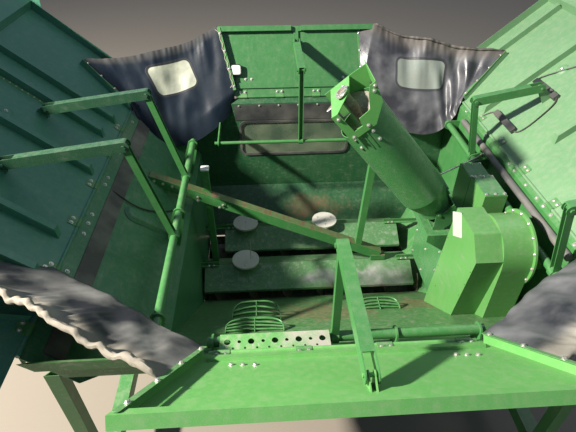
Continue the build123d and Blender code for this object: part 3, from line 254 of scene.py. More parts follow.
# Walls: folded sheet under the same enamel, dulled and rusty where the grain slides down. The front wall's
# enamel is near black as painted shade, and the left wall's is darker and bluer as painted shade with a sky
# reflection. Zinc-plated screws hold the hinge strips on the ledges, and a long bulge is pressed into the left slope.
def new_tree(name, *sockets):
    tree = bpy.data.node_groups.new(name, "GeometryNodeTree")
    tree.is_modifier = True
    tree.interface.new_socket("Geometry", in_out="INPUT", socket_type="NodeSocketGeometry")
    for label, kind, value in sockets:
        socket = tree.interface.new_socket(label, in_out="INPUT", socket_type=kind)
        if value is not None:
            socket.default_value = value
    tree.interface.new_socket("Geometry", in_out="OUTPUT", socket_type="NodeSocketGeometry")
    return tree, tree.nodes.new("NodeGroupInput").outputs, tree.nodes.new("NodeGroupOutput").inputs


def close_tree(tree, shape, given, result):
    """Ends a tree in real geometry with its material."""
    real = put(tree, "GeometryNodeRealizeInstances", (("Geometry", shape),)).outputs[0]
    tree.links.new(
        put(tree, "GeometryNodeSetMaterial", (("Geometry", real), ("Material", given["Material"]))).outputs[0],
        result["Geometry"],
    )


def grown(name, body, kind, tree, mesh, finish, **values):
    """Runs a Geometry Nodes tree on a mesh and keeps what it makes as one plain piece on a body."""
    piece = bpy.data.objects.new(name, mesh)
    bpy.context.scene.collection.objects.link(piece)
    modifier = piece.modifiers.new(name, "NODES")
    modifier.node_group = tree
    values["Material"] = finish
    for item in tree.interface.items_tree:
        if item.in_out == "INPUT" and item.name in values:
            modifier[item.identifier] = values[item.name]
    shape = bpy.data.meshes.new_from_object(piece.evaluated_get(bpy.context.evaluated_depsgraph_get()))
    piece.modifiers.remove(modifier)
    piece.data = shape
    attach(piece, body)
    return piece


def seated_shape(tree, points, shape, spin):
    """Instances of a shape on points: its Z along their facing, its X along their lie, turned by spin."""
    way = put(tree, "GeometryNodeInputNamedAttribute", (("Name", "facing"),), data_type="FLOAT_VECTOR").outputs[0]
    lie = put(tree, "GeometryNodeInputNamedAttribute", (("Name", "lie"),), data_type="FLOAT_VECTOR").outputs[0]
    turn = put(tree, "FunctionNodeAlignRotationToVector", (("Vector", way),), axis="Z").outputs[0]
    turn = put(tree, "FunctionNodeAlignRotationToVector", (("Rotation", turn), ("Vector", lie)), axis="X", pivot_axis="Z").outputs[0]
    random_turn = put(tree, "FunctionNodeRandomValue", ((3, 6.283), ("Seed", 4)), data_type="FLOAT").outputs[1]
    random_turn = put(tree, "ShaderNodeMath", ((0, random_turn), (1, spin)), operation="MULTIPLY").outputs[0]
    about = put(tree, "FunctionNodeAxisAngleToRotation", (("Axis", (0, 0, 1)), ("Angle", random_turn))).outputs[0]
    turn = put(tree, "FunctionNodeRotateRotation", ((0, turn), (1, about)), rotation_space="LOCAL").outputs[0]
    return put(
        tree, "GeometryNodeInstanceOnPoints", (("Points", points), ("Instance", shape), ("Rotation", turn)),
    ).outputs[0]


def raised(tree, shape, offset):
    """The shape moved along Z by a number that another node may work out."""
    vector = put(tree, "ShaderNodeCombineXYZ", (("Z", offset),)).outputs[0]
    return put(tree, "GeometryNodeTransform", (("Geometry", shape), ("Translation", vector))).outputs[0]


def joined(tree, *shapes):
    node = tree.nodes.new("GeometryNodeJoinGeometry")
    for shape in reversed(shapes):
        tree.links.new(shape, node.inputs[0])
    return node.outputs[0]


def drum_of(tree, sides, radius, depth):
    """A cylinder that stands on the plane Z = 0."""
    mesh = put(tree, "GeometryNodeMeshCylinder", (("Vertices", sides), ("Radius", radius), ("Depth", depth))).outputs["Mesh"]
    return raised(tree, mesh, maths(tree, "MULTIPLY", depth, 0.5))


bolt_tree, bolt_in, bolt_out = new_tree(
    "hexagon_bolts",
    ("Radius", "NodeSocketFloat", 0.0085),
    ("Height", "NodeSocketFloat", 0.006),
    ("Material", "NodeSocketMaterial", None),
)
washer_depth = maths(bolt_tree, "MULTIPLY", bolt_in["Height"], 0.3)
washer = drum_of(bolt_tree, 14, maths(bolt_tree, "MULTIPLY", bolt_in["Radius"], 1.5), washer_depth)
hexagon = drum_of(bolt_tree, 6, bolt_in["Radius"], bolt_in["Height"])
crown = put(
    bolt_tree, "GeometryNodeMeshCone",
    (
        ("Vertices", 6),
        ("Radius Top", maths(bolt_tree, "MULTIPLY", bolt_in["Radius"], 0.72)),
        ("Radius Bottom", bolt_in["Radius"]),
        ("Depth", maths(bolt_tree, "MULTIPLY", bolt_in["Height"], 0.25)),
    ),
).outputs["Mesh"]
hexagon = joined(bolt_tree, hexagon, raised(bolt_tree, crown, bolt_in["Height"]))
close_tree(
    bolt_tree,
    seated_shape(bolt_tree, bolt_in["Geometry"], joined(bolt_tree, washer, raised(bolt_tree, hexagon, washer_depth)), 1.0),
    bolt_in, bolt_out,
)


def points_mesh(name, seats):
    """Points with the way that each one's piece faces and, where it matters, the way that it lies."""
    mesh = bpy.data.meshes.new(name)
    mesh.from_pydata([seat[0] for seat in seats], [], [])
    facings = mesh.attributes.new("facing", "FLOAT_VECTOR", "POINT")
    lies = mesh.attributes.new("lie", "FLOAT_VECTOR", "POINT")
    for k, seat in enumerate(seats):
        facings.data[k].vector = seat[1]
        lies.data[k].vector = seat[2] if len(seat) > 2 else Vector(seat[1]).orthogonal()
    return mesh


def metal(name, tone, roughness, tarnish=0.3, stain=(0.14, 0.075, 0.04, 1)):
    """Bare or plated metal, dull and stained in places."""
    finish = bpy.data.materials.new(name)
    finish.use_nodes = True
    tree = finish.node_tree
    shader = tree.nodes["Principled BSDF"]
    spot = tree.nodes.new("ShaderNodeTexCoord").outputs["Object"]
    blotch = speckle(tree, spot, 38.0, 6, 0.42, 0.72)
    fine = speckle(tree, spot, 420.0, 3, 0.3, 0.8)
    wire(
        tree,
        (blend_colour(tree, maths(tree, "MULTIPLY", blotch, tarnish), (*tone, 1), stain), shader.inputs["Base Color"]),
        (maths(tree, "ADD", maths(tree, "MULTIPLY", blotch, 0.3), roughness, True), shader.inputs["Roughness"]),
        (
            put(tree, "ShaderNodeBump", (("Height", fine), ("Strength", 0.2), ("Distance", 0.0003))).outputs[0],
            shader.inputs["Normal"],
        ),
    )
    shader.inputs["Metallic"].default_value = 0.85
    return finish


zinc = metal("zinc_plated", (0.62, 0.61, 0.56), 0.34)


def fasten(name, body, seats, radius=0.0085, height=0.006, finish=zinc):
    grown(name, body, "steel", bolt_tree, points_mesh(name, seats), finish, Radius=radius, Height=height)


slope_paint = coated(
    "slope_enamel", (0.032, 0.155, 0.034), 0.45, 0.50, 0.06, 0.38,
    stained=(((0.02, -0.34, 0.42), (0.66, 0.50, 0.42)), ((0.75, -0.25, 0.35), (0.35, 0.30, 0.25)), ((0.14, 1.14, 0.22), (0.44, 0.20, 0.16))),
)
# The left wall's and bulge's enamel is darker and bluer: painted shade with a painted sky reflection.
painted_shade_left_paint = coated("painted_shade_left_slope_enamel", (0.028, 0.140, 0.058), 0.22, 0.30, 0.02, 0.34)
# The front wall's enamel is near black as painted shade; its rust patch is a real stain.
painted_shade_wall_paint = coated("painted_shade_wall_enamel", (0.012, 0.070, 0.026), 0.20, 0.22, 0.0, 0.30, stained=(((0.14, 1.14, 0.22), (0.44, 0.20, 0.16)),))
dress(slope_paint, "wall_rear")
dress(painted_shade_left_paint, "wall_left")
dress(frame_paint, "wall_right")
dress(painted_shade_wall_paint, "wall_front")

rim = 1.300
half_width = 1.400
half_length = 1.312
hinge_seat = 0.0103
ledge_step = 0.030
left_screws = (0.97, 0.485, 0.158, 0.075, -0.244, -0.329, -0.424, -0.73)
right_screws = (0.145, 0.059, -0.111, -0.259, -0.344, -0.434, 0.56, -0.70, 0.97)
seats = [
    ((ledge_step - half_width, y, rim - hinge_seat - ledge_step), (0.707, 0, 0.707)) for y in left_screws
] + [
    ((half_width - 0.012, y, rim - hinge_seat - 0.012), (-0.707, 0, 0.707)) for y in right_screws
]
outer_front = 1.2803
seats += [((x, outer_front, 1.20), (0, 1, 0)) for x in (-1.28, -0.98, -0.66, -0.33, 0, 0.33, 0.66, 0.98, 1.28)]
seats += [((1.345, outer_front, z), (0, 1, 0)) for z in (1.06, 0.90, 0.74, 0.58)]
seats += [((-1.300 + 0.94 * k, outer_front, 1.13 - k), (0, 1, 0)) for k in (0, 0.12, 0.24)]
fasten("wall_screws", "tank", seats)


def pressed(name, body, finish, centre, lengthwise, normal, length, width, depth):
    """Long round-ended bulge pressed out of a sheet, as rings from its foot to its top."""
    centre = Vector(centre)
    normal = Vector(normal).normalized()
    lengthwise = Vector(lengthwise).normalized()
    across = normal.cross(lengthwise)
    steps = 40
    rings = ((1.0, 0.0), (0.93, 0.10), (0.82, 0.55), (0.70, 0.90), (0.55, 1.0), (0.0, 1.0))
    straight = (length - width) / 2
    mesh = bmesh.new()
    rows = []
    for share, lift in rings[:-1]:
        row = []
        for k in range(steps):
            turn = math.tau * k / steps
            end = straight if math.cos(turn) > 0 else -straight
            spot = lengthwise * (end + math.cos(turn) * width / 2 * share) + across * (math.sin(turn) * width / 2 * share)
            row.append(mesh.verts.new(centre + spot + normal * (depth * lift)))
        rows.append(row)
    for low, high in zip(rows, rows[1:]):
        for k in range(steps):
            mesh.faces.new((low[k], low[(k + 1) % steps], high[(k + 1) % steps], high[k]))
    mesh.faces.new(rows[-1])
    for face in mesh.faces:
        face.smooth = True
    data = bpy.data.meshes.new(name)
    mesh.to_mesh(data)
    mesh.free()
    data.materials.append(finish)
    piece = bpy.data.objects.new(name, data)
    bpy.context.scene.collection.objects.link(piece)
    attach(piece, body)


pressed(
    "slope_bulge", "tank", painted_shade_left_paint, (-1.085, 0.006, 0.967), (0.313, 0.107, -0.335), (0.73, 0, 0.684), 0.47, 0.13, 0.022,
)

# Window: a tinted pane seated in the front wall's cut-out by a moulded rubber gasket
tinted = bpy.data.materials.new("tinted_glass")
tinted.use_nodes = True
pane_tree = tinted.node_tree
pane = pane_tree.nodes["Principled BSDF"]
pane_film = speckle(pane_tree, pane_tree.nodes.new("ShaderNodeTexCoord").outputs["Object"], 4.0, 6, 0.40, 0.75)
wire(
    pane_tree,
    (blend_colour(pane_tree, pane_film, (0.050, 0.085, 0.055, 1), (0.17, 0.20, 0.13, 1)), pane.inputs["Base Color"]),
    (maths(pane_tree, "ADD", maths(pane_tree, "MULTIPLY", pane_film, 0.25), 0.06), pane.inputs["Roughness"]),
)
pane.inputs["Alpha"].default_value = 0.82
dress(tinted, "window_glass")


def moulded(name, tone, roughness, grain=90.0, dusty=0.25, depth=0.0004):
    """Rubber or plastic with a fine grain and dust in it."""
    finish = bpy.data.materials.new(name)
    finish.use_nodes = True
    tree = finish.node_tree
    shader = tree.nodes["Principled BSDF"]
    spot = tree.nodes.new("ShaderNodeTexCoord").outputs["Object"]
    film = speckle(tree, spot, 5.0, 6, 0.42, 0.75)
    pores = speckle(tree, spot, grain, 4, 0.40, 0.66)
    bump = put(tree, "ShaderNodeBump", (("Height", pores), ("Strength", 0.4), ("Distance", depth)))
    wire(
        tree,
        (
            blend_colour(tree, maths(tree, "MULTIPLY", film, dusty, True), (*tone, 1), (0.30, 0.28, 0.23, 1)),
            shader.inputs["Base Color"],
        ),
        (bump.outputs[0], shader.inputs["Normal"]),
        (maths(tree, "ADD", maths(tree, "MULTIPLY", film, 0.25), roughness, True), shader.inputs["Roughness"]),
    )
    return finish


seal_rubber = moulded("seal_rubber", (0.020, 0.021, 0.023), 0.62)
dress(seal_rubber, "window_gasket")

# Floor: pressed troughs worn by the crop, with a rolled screw turning in each
trough_paint = coated("trough_worn", (0.07, 0.13, 0.06), 0.9, 0.5, 0.7, 0.42)
dress(trough_paint, "floor_troughs")
screw_steel = coated("screw_steel", (0.20, 0.17, 0.14), 0.8, 0.2, 0.9, 0.34, (0.50, 0.47, 0.43, 1))
dress(screw_steel, "cross_auger_rear", "cross_auger_front", "loading_auger_screw")

# Covers: folded roofs over the two screws, bolted to hangers on the side walls. Grain has polished the
# rear one down to rust and steel, and level sensors stand on their ridges.
cover_paint = coated(
    "cover_enamel", (0.052, 0.165, 0.055), 0.35, 0.30, 0.12, 0.42, (0.46, 0.45, 0.43, 1),
    polished=(((0.64, 0.12, 0.16), (0.42, 0.26, 0.20)), ((0.10, 0.20, 0.17), (0.30, 0.10, 0.08))),
    stained=(((0.36, 0.06, 0.12), (0.55, 0.16, 0.12)),),
)
dress(cover_paint, "cover_rear", "cover_front")
dress(frame_paint, "cover_hangers", "sensor_stands")
cover_edge = ((0.332, -0.846, 0.905), (0.822, -0.70, 0.905))
seats = []
for y, left_end, right_end in cover_edge:
    for x in (left_end + 0.035, left_end + 0.075, right_end - 0.035, right_end - 0.075):
        seats.append(((x, y - 0.014, 0.2443), (0, 0, 1)))
        seats.append(((x, y + 0.014, 0.2443), (0, 0, 1)))
fasten("hanger_bolts", "tank", seats, 0.0075, 0.005)

# The discs' grey is made lighter as painted sunlight.
brightened_disc_paint = moulded("painted_light_disc_plate", (0.46, 0.45, 0.40), 0.5, 40.0, 0.5)
dress(brightened_disc_paint, "sensor_discs")
disc_top = 0.3013
sensors = ((-0.506, 0.814), (0.222, 0.814), (-0.500, 0.324))
seats = [((x, y, disc_top), (0, 0, 1)) for x, y in sensors]
seats += [
    ((x + 0.07 * math.cos(turn), y + 0.07 * math.sin(turn), disc_top), (0, 0, 1))
    for x, y in sensors for turn in (0.5, 2.6, 4.7)
]
fasten("sensor_screws", "tank", seats, 0.006, 0.004)

path_tree, path_in, path_out = new_tree(
    "round_run",
    ("Radius", "NodeSocketFloat", 0.004),
    ("Material", "NodeSocketMaterial", None),
)
run = put(path_tree, "GeometryNodeMeshToCurve", ((0, path_in["Geometry"]),)).outputs[0]
run = put(path_tree, "GeometryNodeCurveSplineType", (("Curve", run),), spline_type="NURBS").outputs[0]
run = put(path_tree, "GeometryNodeResampleCurve", (("Curve", run), ("Length", 0.012)), mode="LENGTH").outputs[0]
ring = put(
    path_tree, "GeometryNodeCurvePrimitiveCircle", (("Resolution", 8), ("Radius", path_in["Radius"])),
).outputs["Curve"]
run = put(path_tree, "GeometryNodeCurveToMesh", (("Curve", run), ("Profile Curve", ring), ("Fill Caps", True))).outputs[0]
run = put(path_tree, "GeometryNodeSetShadeSmooth", ((0, run),)).outputs[0]
close_tree(path_tree, run, path_in, path_out)


def chains(name, *routes):
    """Mesh of edges along each route."""
    verts = [Vector(p) for route in routes for p in route]
    edges = []
    first = 0
    for route in routes:
        edges += [(first + k, first + k + 1) for k in range(len(route) - 1)]
        first += len(route)
    mesh = bpy.data.meshes.new(name)
    mesh.from_pydata(verts, edges, [])
    return mesh


def cable(name, body, radius, finish, *routes):
    """Wires or cables that are clipped along their length."""
    return grown(name, body, "rubber", path_tree, chains(name, *routes), finish, Radius=radius)


cable_black = moulded("cable_sheath", (0.012, 0.012, 0.013), 0.45, 160.0, 0.3)
cable(
    "slope_cable", "tank", 0.0055, cable_black,
    ((-1.329, 0.057, 1.222), (-1.290, 0.050, 1.192), (-1.236, 0.036, 1.138), (-1.173, 0.054, 1.071),
     (-1.110, 0.102, 1.004), (-1.070, 0.155, 0.961), (-1.020, 0.220, 0.908), (-0.985, 0.300, 0.870)),
)
cable("sensor_wire", "tank", 0.0035, zinc, ((-0.455, 0.324, disc_top), (-0.455, 0.325, 0.36), (-0.457, 0.330, 0.43), (-0.452, 0.334, 0.478)))

# Post and brace: square tube and a folded sheet that tie the rear cover to the left slope. A gusset
# and bolts join them, and a strut stands on the brace.
arm_paint = coated("arm_enamel", (0.040, 0.170, 0.044), 0.12, 0.25, 0.0, 0.28)
# A darker copy of the arm enamel is painted shade for the left arms.
painted_shade_arm_paint = coated("painted_shade_arm_enamel", (0.018, 0.066, 0.034), 0.12, 0.20, 0.0, 0.26)
dress(frame_paint, "post_left", "strut_centre")
brace_paint = coated("brace_enamel", farm_green, 0.20, 0.25, 0.0, 0.32)
brace_tree = brace_paint.node_tree
brace_facing = put(brace_tree, "ShaderNodeSeparateXYZ", ((0, put(brace_tree, "ShaderNodeNewGeometry").outputs["Normal"]),)).outputs["Z"]
brace_top = put(brace_tree, "ShaderNodeMapRange", (("Value", brace_facing), ("From Min", 0.3), ("From Max", 0.6))).outputs[0]
brace_tree.links.new(brace_top, next(n for n in brace_tree.nodes if n.type == "GROUP").inputs["Stained"])
dress(brace_paint, "cross_brace")


def planks(name, body, finish, rows):
    """Flat bars and plates with softened edges. Columns: the two ends of the middle line of the face
    that lies on something, the way out of it, width and thickness."""
    mesh = bmesh.new()
    for a, b, out, width, thickness in rows:
        a, b, out = Vector(a), Vector(b), Vector(out).normalized()
        side = (b - a).cross(out).normalized() * (width / 2)
        base = [mesh.verts.new(p) for p in (a - side, b - side, b + side, a + side)]
        top = [mesh.verts.new(v.co + out * thickness) for v in base]
        faces = [mesh.faces.new(base), mesh.faces.new(top[::-1])]
        for k in range(4):
            faces.append(mesh.faces.new((base[k], top[k], top[(k + 1) % 4], base[(k + 1) % 4])))
        upright = [e for f in faces[2:] for e in f.edges if abs((e.verts[0].co - e.verts[1].co).normalized().dot(out)) > 0.9]
        bmesh.ops.bevel(mesh, geom=list(set(upright)), offset=min(0.3 * width, 0.008), segments=3, profile=0.5, affect="EDGES")
    bmesh.ops.recalc_face_normals(mesh, faces=mesh.faces)
    data = bpy.data.meshes.new(name)
    mesh.to_mesh(data)
    mesh.free()
    data.materials.append(finish)
    piece = bpy.data.objects.new(name, data)
    bpy.context.scene.collection.objects.link(piece)
    soft = piece.modifiers.new("edges", "BEVEL")
    soft.width = 0.0006
    soft.segments = 1
    soft.limit_method = "ANGLE"
    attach(piece, body)
    return piece


brace_start = Vector((-1.183, 0.462, 1.066))
brace_way = Vector((0.9214, -0.0591, -0.3841))
brace_side = Vector((0.064, 0.998, 0.0))
brace_up = Vector((0.383, -0.025, 0.923))


def on_brace(along, height, out=0.0275):
    """Point on the face of the brace's web."""
    return brace_start + brace_way * along - brace_side * out + brace_up * height


seats = [(on_brace(t, -0.011), -brace_side) for t in (0.044, 0.113, 0.183, 0.253)]
gusset = 0.0025
seats += [(on_brace(t, h, 0.0275 + gusset), -brace_side) for t, h in ((0.390, -0.026), (0.591, -0.025), (0.400, -0.058), (0.575, -0.056))]
fasten("brace_bolts", "tank", seats)
planks("brace_gusset", "tank", frame_paint, (
    (on_brace(0.368, -0.029), on_brace(0.612, -0.029), -brace_side, 0.060, gusset),
))
cap_white = moulded("cap_plastic", (0.62, 0.63, 0.58), 0.42, 60.0, 0.3)
planks("post_cap", "tank", cap_white, (((-0.765, 0.4385, 1.1083), (-0.765, 0.5015, 1.1083), (0, 0, 1), 0.063, 0.010),))
bright_green = coated("bright_enamel", (0.090, 0.29, 0.070), 0.10, 0.30, 0.0, 0.32)

# Fill elevator: a tall sheet head with a blank plate, its drive in a round housing behind a bolted flange
# The auger's enamel is darker and bluer than the head's as painted shade.
shade_tinted_auger_paint = coated("painted_shade_auger_enamel", (0.043, 0.170, 0.052), 0.22, 0.25, 0.02, 0.26)
# The head, drum and gear housings take a paler, yellower copy of the green as painted sunlight.
sunlit_head_paint = coated("painted_sunlight_elevator_enamel", (0.082, 0.250, 0.060), 0.25, 0.30, 0.03, 0.32)
dress(sunlit_head_paint, "elevator_head", "elevator_drum", "gear_housings")
dress(shade_tinted_auger_paint, "drive_trunk", "loading_auger_boot", "loading_auger_tube")
plate_white = moulded("blank_plate", (0.40, 0.41, 0.38), 0.35, 30.0, 0.25)
head_face = 0.8697
planks("head_plate", "tank", plate_white, (
    ((head_face, -0.314, 1.2315), (head_face, -0.400, 1.101), (-1, 0, 0), 0.136, 0.0012),
))
flange_face = 1.2050
flange_row = 0.2238
drum_axis = (-0.480, 1.075)
seats = [
    ((flange_face, drum_axis[0] + flange_row * math.cos(turn), drum_axis[1] + flange_row * math.sin(turn)), (-1, 0, 0))
    for turn in [math.radians(-18 + 24 * k) for k in range(10)]
]
fasten("flange_bolts", "tank", seats, 0.0075, 0.006)
seats = [((head_face, y, z), (-1, 0, 0)) for y, z in (
    (-0.655, 1.05), (-0.640, 0.93), (-0.615, 0.81), (-0.255, 0.72), (-0.27, 0.86), (-0.285, 1.0), (-0.30, 0.56),
)]
fasten("head_rivets", "tank", seats, 0.0055, 0.003, sunlit_head_paint)

# Gear housings: two cast boxes with bolted lids beside the boot, on a folded drive trunk
# The lids' enamel is bluer than the housings' as painted shade; its dust and wear are real.
shade_tinted_lid_paint = coated("painted_shade_lid_enamel", (0.046, 0.185, 0.060), 0.35, 0.45, 0.04, 0.34)
lid_rows = []
seats = []
for rear, front, top in ((0.070, 0.270, 1.2152), (-0.176, 0.064, 1.2402)):
    lid_rows.append(((1.175, rear + 0.004, top), (1.175, front - 0.004, top), (0, 0, 1), 0.142, 0.004))
    for x in (1.115, 1.175, 1.235):
        for y in (rear + 0.018, front - 0.018):
            seats.append(((x, y, top + 0.004), (0, 0, 1)))
planks("gear_lids", "tank", shade_tinted_lid_paint, lid_rows)
fasten("lid_bolts", "tank", seats, 0.0075, 0.006)
trunk_left = 0.9118
seats = [((trunk_left, y, z), (-1, 0, 0)) for y in (-0.150, 0.080, 0.310) for z in (0.340, 0.560, 0.740)]
fasten("trunk_bolts", "tank", seats, 0.0075, 0.006)

# Loading auger: a rolled tube with a folded head round its screw, which turns in a pressed flange bearing
dress(bright_green, "discharge_head")
dress(zinc, "auger_link_rod")
loader_pin = Vector((0.856, 0, 1.051))
loader_way = Vector((-0.64279, 0, 0.76604))
loader_out = Vector((0.76604, 0, 0.64279))


def on_loader(along, out, y):
    """Point by its distance along the tube from the pin, above the axis and along Y."""
    return loader_pin + loader_way * along + loader_out * out + Vector((0, y, 0))


tube_radius = 0.158
seats = []
for along, out in ((0.795, 0.022), (0.795, -0.099), (0.865, 0.022), (0.865, -0.099)):
    across = -math.sqrt(tube_radius ** 2 - out ** 2)
    seats.append((on_loader(along, out, across), loader_out * out + Vector((0, across, 0))))
cheek_face = -0.1635
seats += [(on_loader(along, out, cheek_face), (0, -1, 0)) for along, out in (
    (1.092, 0.180), (1.068, 0.162), (1.058, -0.088), (0.915, 0.022), (0.905, -0.085),
)]
fasten("tube_bolts", "loading_auger", seats)
planks("tube_strap", "loading_auger", shade_tinted_auger_paint, (
    (on_loader(0.760, -0.0385, -0.1545), on_loader(0.885, -0.0385, -0.1545), (0, -1, 0), 0.008, 0.0025),
    (on_loader(0.760, -0.0125, -0.1585), on_loader(0.885, -0.0125, -0.1585), (0, -1, 0), 0.008, 0.0025),
))


def bearing_flange(name, body, centre, out, lie, length, width, bore, depth):
    """Two-bolt pressed flange: an oval plate that rises to a collar round its bore."""
    out, lie = Vector(out).normalized(), Vector(lie).normalized()
    across = out.cross(lie)
    steps = 36
    rings = ((1.0, 0.0), (1.0, 0.35), (0.72, 0.40), (0.62, 1.0), (0.0, 1.0), (0.0, 0.0))
    mesh = bmesh.new()
    rows = []
    for share, lift in rings:
        row = []
        for k in range(steps):
            turn = math.tau * k / steps
            oval = Vector((math.cos(turn) * length / 2, math.sin(turn) * width / 2))
            round_part = Vector((math.cos(turn), math.sin(turn))) * bore
            collar = Vector((math.cos(turn), math.sin(turn))) * bore * 1.45
            flat = oval if share == 1.0 else (round_part if share == 0.0 else collar * (1.0 + (share - 0.62)))
            row.append(mesh.verts.new(Vector(centre) + lie * flat.x + across * flat.y + out * depth * lift))
        rows.append(row)
    for low, high in zip(rows, rows[1:] + rows[:1]):
        for k in range(steps):
            mesh.faces.new((low[k], low[(k + 1) % steps], high[(k + 1) % steps], high[k]))
    bmesh.ops.recalc_face_normals(mesh, faces=mesh.faces)
    data = bpy.data.meshes.new(name)
    mesh.to_mesh(data)
    mesh.free()
    data.materials.append(zinc)
    piece = bpy.data.objects.new(name, data)
    bpy.context.scene.collection.objects.link(piece)
    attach(piece, body)


bearing_lie = Vector((0, 0.90, 0)) + loader_out * 0.43
bearing_foot = on_loader(1.1045, 0, 0)
bearing_flange("screw_bearing", "loading_auger", bearing_foot, loader_way, bearing_lie, 0.118, 0.076, 0.0235, 0.012)
bearing_lie.normalize()
seats = [(bearing_foot + bearing_lie * reach + loader_way * 0.0045, loader_way) for reach in (0.046, -0.046)]
fasten("bearing_bolts", "loading_auger", seats, 0.0065, 0.006)

# Fold linkages: torque tubes in brackets, with arms of folded channel that fold the extensions
dress(
    arm_paint,
    "torque_tube_left", "torque_tube_right", "torque_tube_front", "torque_tube_rear",
    "fold_links_right", "fold_links_front", "fold_links_rear",
)
# The left arms take the darker copy as painted shade.
dress(painted_shade_arm_paint, "fold_links_left")
dress(frame_paint, "tube_brackets")

# Step bar: enamelled sheet folded to a channel and punched with grip holes, on two end plates. Boots
# have worn its right end down to the bare sheet.
step_paint = coated(
    "step_enamel", (0.085, 0.270, 0.070), 0.75, 0.55, 0.04, 0.36, (0.42, 0.39, 0.34, 1),
    polished=(((-0.08, -1.107, 1.09), (0.26, 0.30, 0.30)),),
)
punch_tree, punch_in, punch_out = new_tree("punched_holes", ("Material", "NodeSocketMaterial", None))
bore = put(punch_tree, "GeometryNodeInputNamedAttribute", (("Name", "bore"),), data_type="FLOAT").outputs[0]
marked = put(punch_tree, "FunctionNodeCompare", ((0, bore), (1, 0.0001)), data_type="FLOAT", operation="GREATER_THAN").outputs[0]
split = put(punch_tree, "GeometryNodeSeparateGeometry", ((0, punch_in["Geometry"]), (1, marked)), domain="POINT")
cutter = put(punch_tree, "GeometryNodeMeshCylinder", (("Vertices", 18), ("Radius", 1.0), ("Depth", 0.016))).outputs["Mesh"]
spots = seated_shape(punch_tree, split.outputs[0], cutter, 0.0)
spots_node = spots.node
wide = put(punch_tree, "ShaderNodeCombineXYZ", (("X", bore), ("Y", bore), ("Z", 1.0))).outputs[0]
punch_tree.links.new(wide, spots_node.inputs["Scale"])
cut = put(
    punch_tree, "GeometryNodeMeshBoolean",
    (("Mesh 1", split.outputs[1]), ("Mesh 2", put(punch_tree, "GeometryNodeRealizeInstances", (("Geometry", spots),)).outputs[0])),
    operation="DIFFERENCE",
).outputs[0]
close_tree(punch_tree, cut, punch_in, punch_out)

step_ends = (-0.570, -0.022)
step_middle = -1.107
step_top = 1.090
lip = 0.024
fold = ((-0.053, -lip), (-0.053, 0), (0.053, 0), (0.053, -lip), (0.049, -lip), (0.049, -0.004), (-0.049, -0.004), (-0.049, -lip))
verts = [(x, step_middle + y, step_top + z) for x in step_ends for y, z in fold]
sides = len(fold)
faces = [tuple(range(sides))[::-1], tuple(range(sides, 2 * sides))]
faces += [(k, (k + 1) % sides, sides + (k + 1) % sides, sides + k) for k in range(sides)]
bores = []
for k in range(9):
    x = step_ends[0] + 0.038 + 0.059 * k
    bores.append(((x, step_middle + 0.006, step_top - 0.002), (0, 0, 1), 0.0165 if k % 2 == 0 else 0.009))
    bores.append(((x + 0.0295 if k < 8 else x - 0.0295, step_middle - 0.032, step_top - 0.002), (0, 0, 1), 0.006))
    bores.append(((x, step_middle + 0.051, step_top - 0.014), (0, 1, 0), 0.0055))
step_mesh = bpy.data.meshes.new("step_sheet")
step_mesh.from_pydata(verts + [b[0] for b in bores], [], faces)
bore_sizes = step_mesh.attributes.new("bore", "FLOAT", "POINT")
bore_ways = step_mesh.attributes.new("facing", "FLOAT_VECTOR", "POINT")
bore_lies = step_mesh.attributes.new("lie", "FLOAT_VECTOR", "POINT")
for k, (spot, way, size) in enumerate(bores, len(verts)):
    bore_sizes.data[k].value = size
    bore_ways.data[k].vector = way
    bore_lies.data[k].vector = (1, 0, 0)
step_sheet = grown("step_sheet", "tank", "steel", punch_tree, step_mesh, step_paint)
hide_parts("step_bar")


def slab(name, body, finish, outlines):
    """Flat plates cut to outlines; columns: the outline's points and the vector of its thickness."""
    mesh = bmesh.new()
    for points, thick in outlines:
        low = [mesh.verts.new(p) for p in points]
        high = [mesh.verts.new(Vector(p) + Vector(thick)) for p in points]
        count = len(points)
        mesh.faces.new(low)
        mesh.faces.new(high[::-1])
        for k in range(count):
            mesh.faces.new((low[k], high[k], high[(k + 1) % count], low[(k + 1) % count]))
    bmesh.ops.recalc_face_normals(mesh, faces=mesh.faces)
    data = bpy.data.meshes.new(name)
    mesh.to_mesh(data)
    mesh.free()
    data.materials.append(finish)
    piece = bpy.data.objects.new(name, data)
    bpy.context.scene.collection.objects.link(piece)
    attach(piece, body)
    return piece


slope_rise = 1.130 / 1.428


def slope_z(y):
    """Height of the rear slope's inner face."""
    return (0.152 - y) * slope_rise


step_plates = []
for x in (step_ends[0] - 0.0005, step_ends[1] - 0.0035):
    outline = [(x, y, z) for y, z in (
        (-1.158, step_top - 0.005), (-1.075, step_top - 0.005), (-1.075, step_top - 0.040),
        (-1.095, slope_z(-1.095) + 0.002), (-1.158, slope_z(-1.158) + 0.002),
    )]
    step_plates.append((outline, (0.004, 0, 0)))
slab("step_ends", "tank", step_paint, step_plates)
seats = [((x, y, slope_z(y) + 0.0005), (0, 0.6205, 0.7842)) for x in (-0.548, -0.044) for y in (-1.118, -1.145)]
fasten("step_bolts", "tank", seats, 0.0065, 0.005)

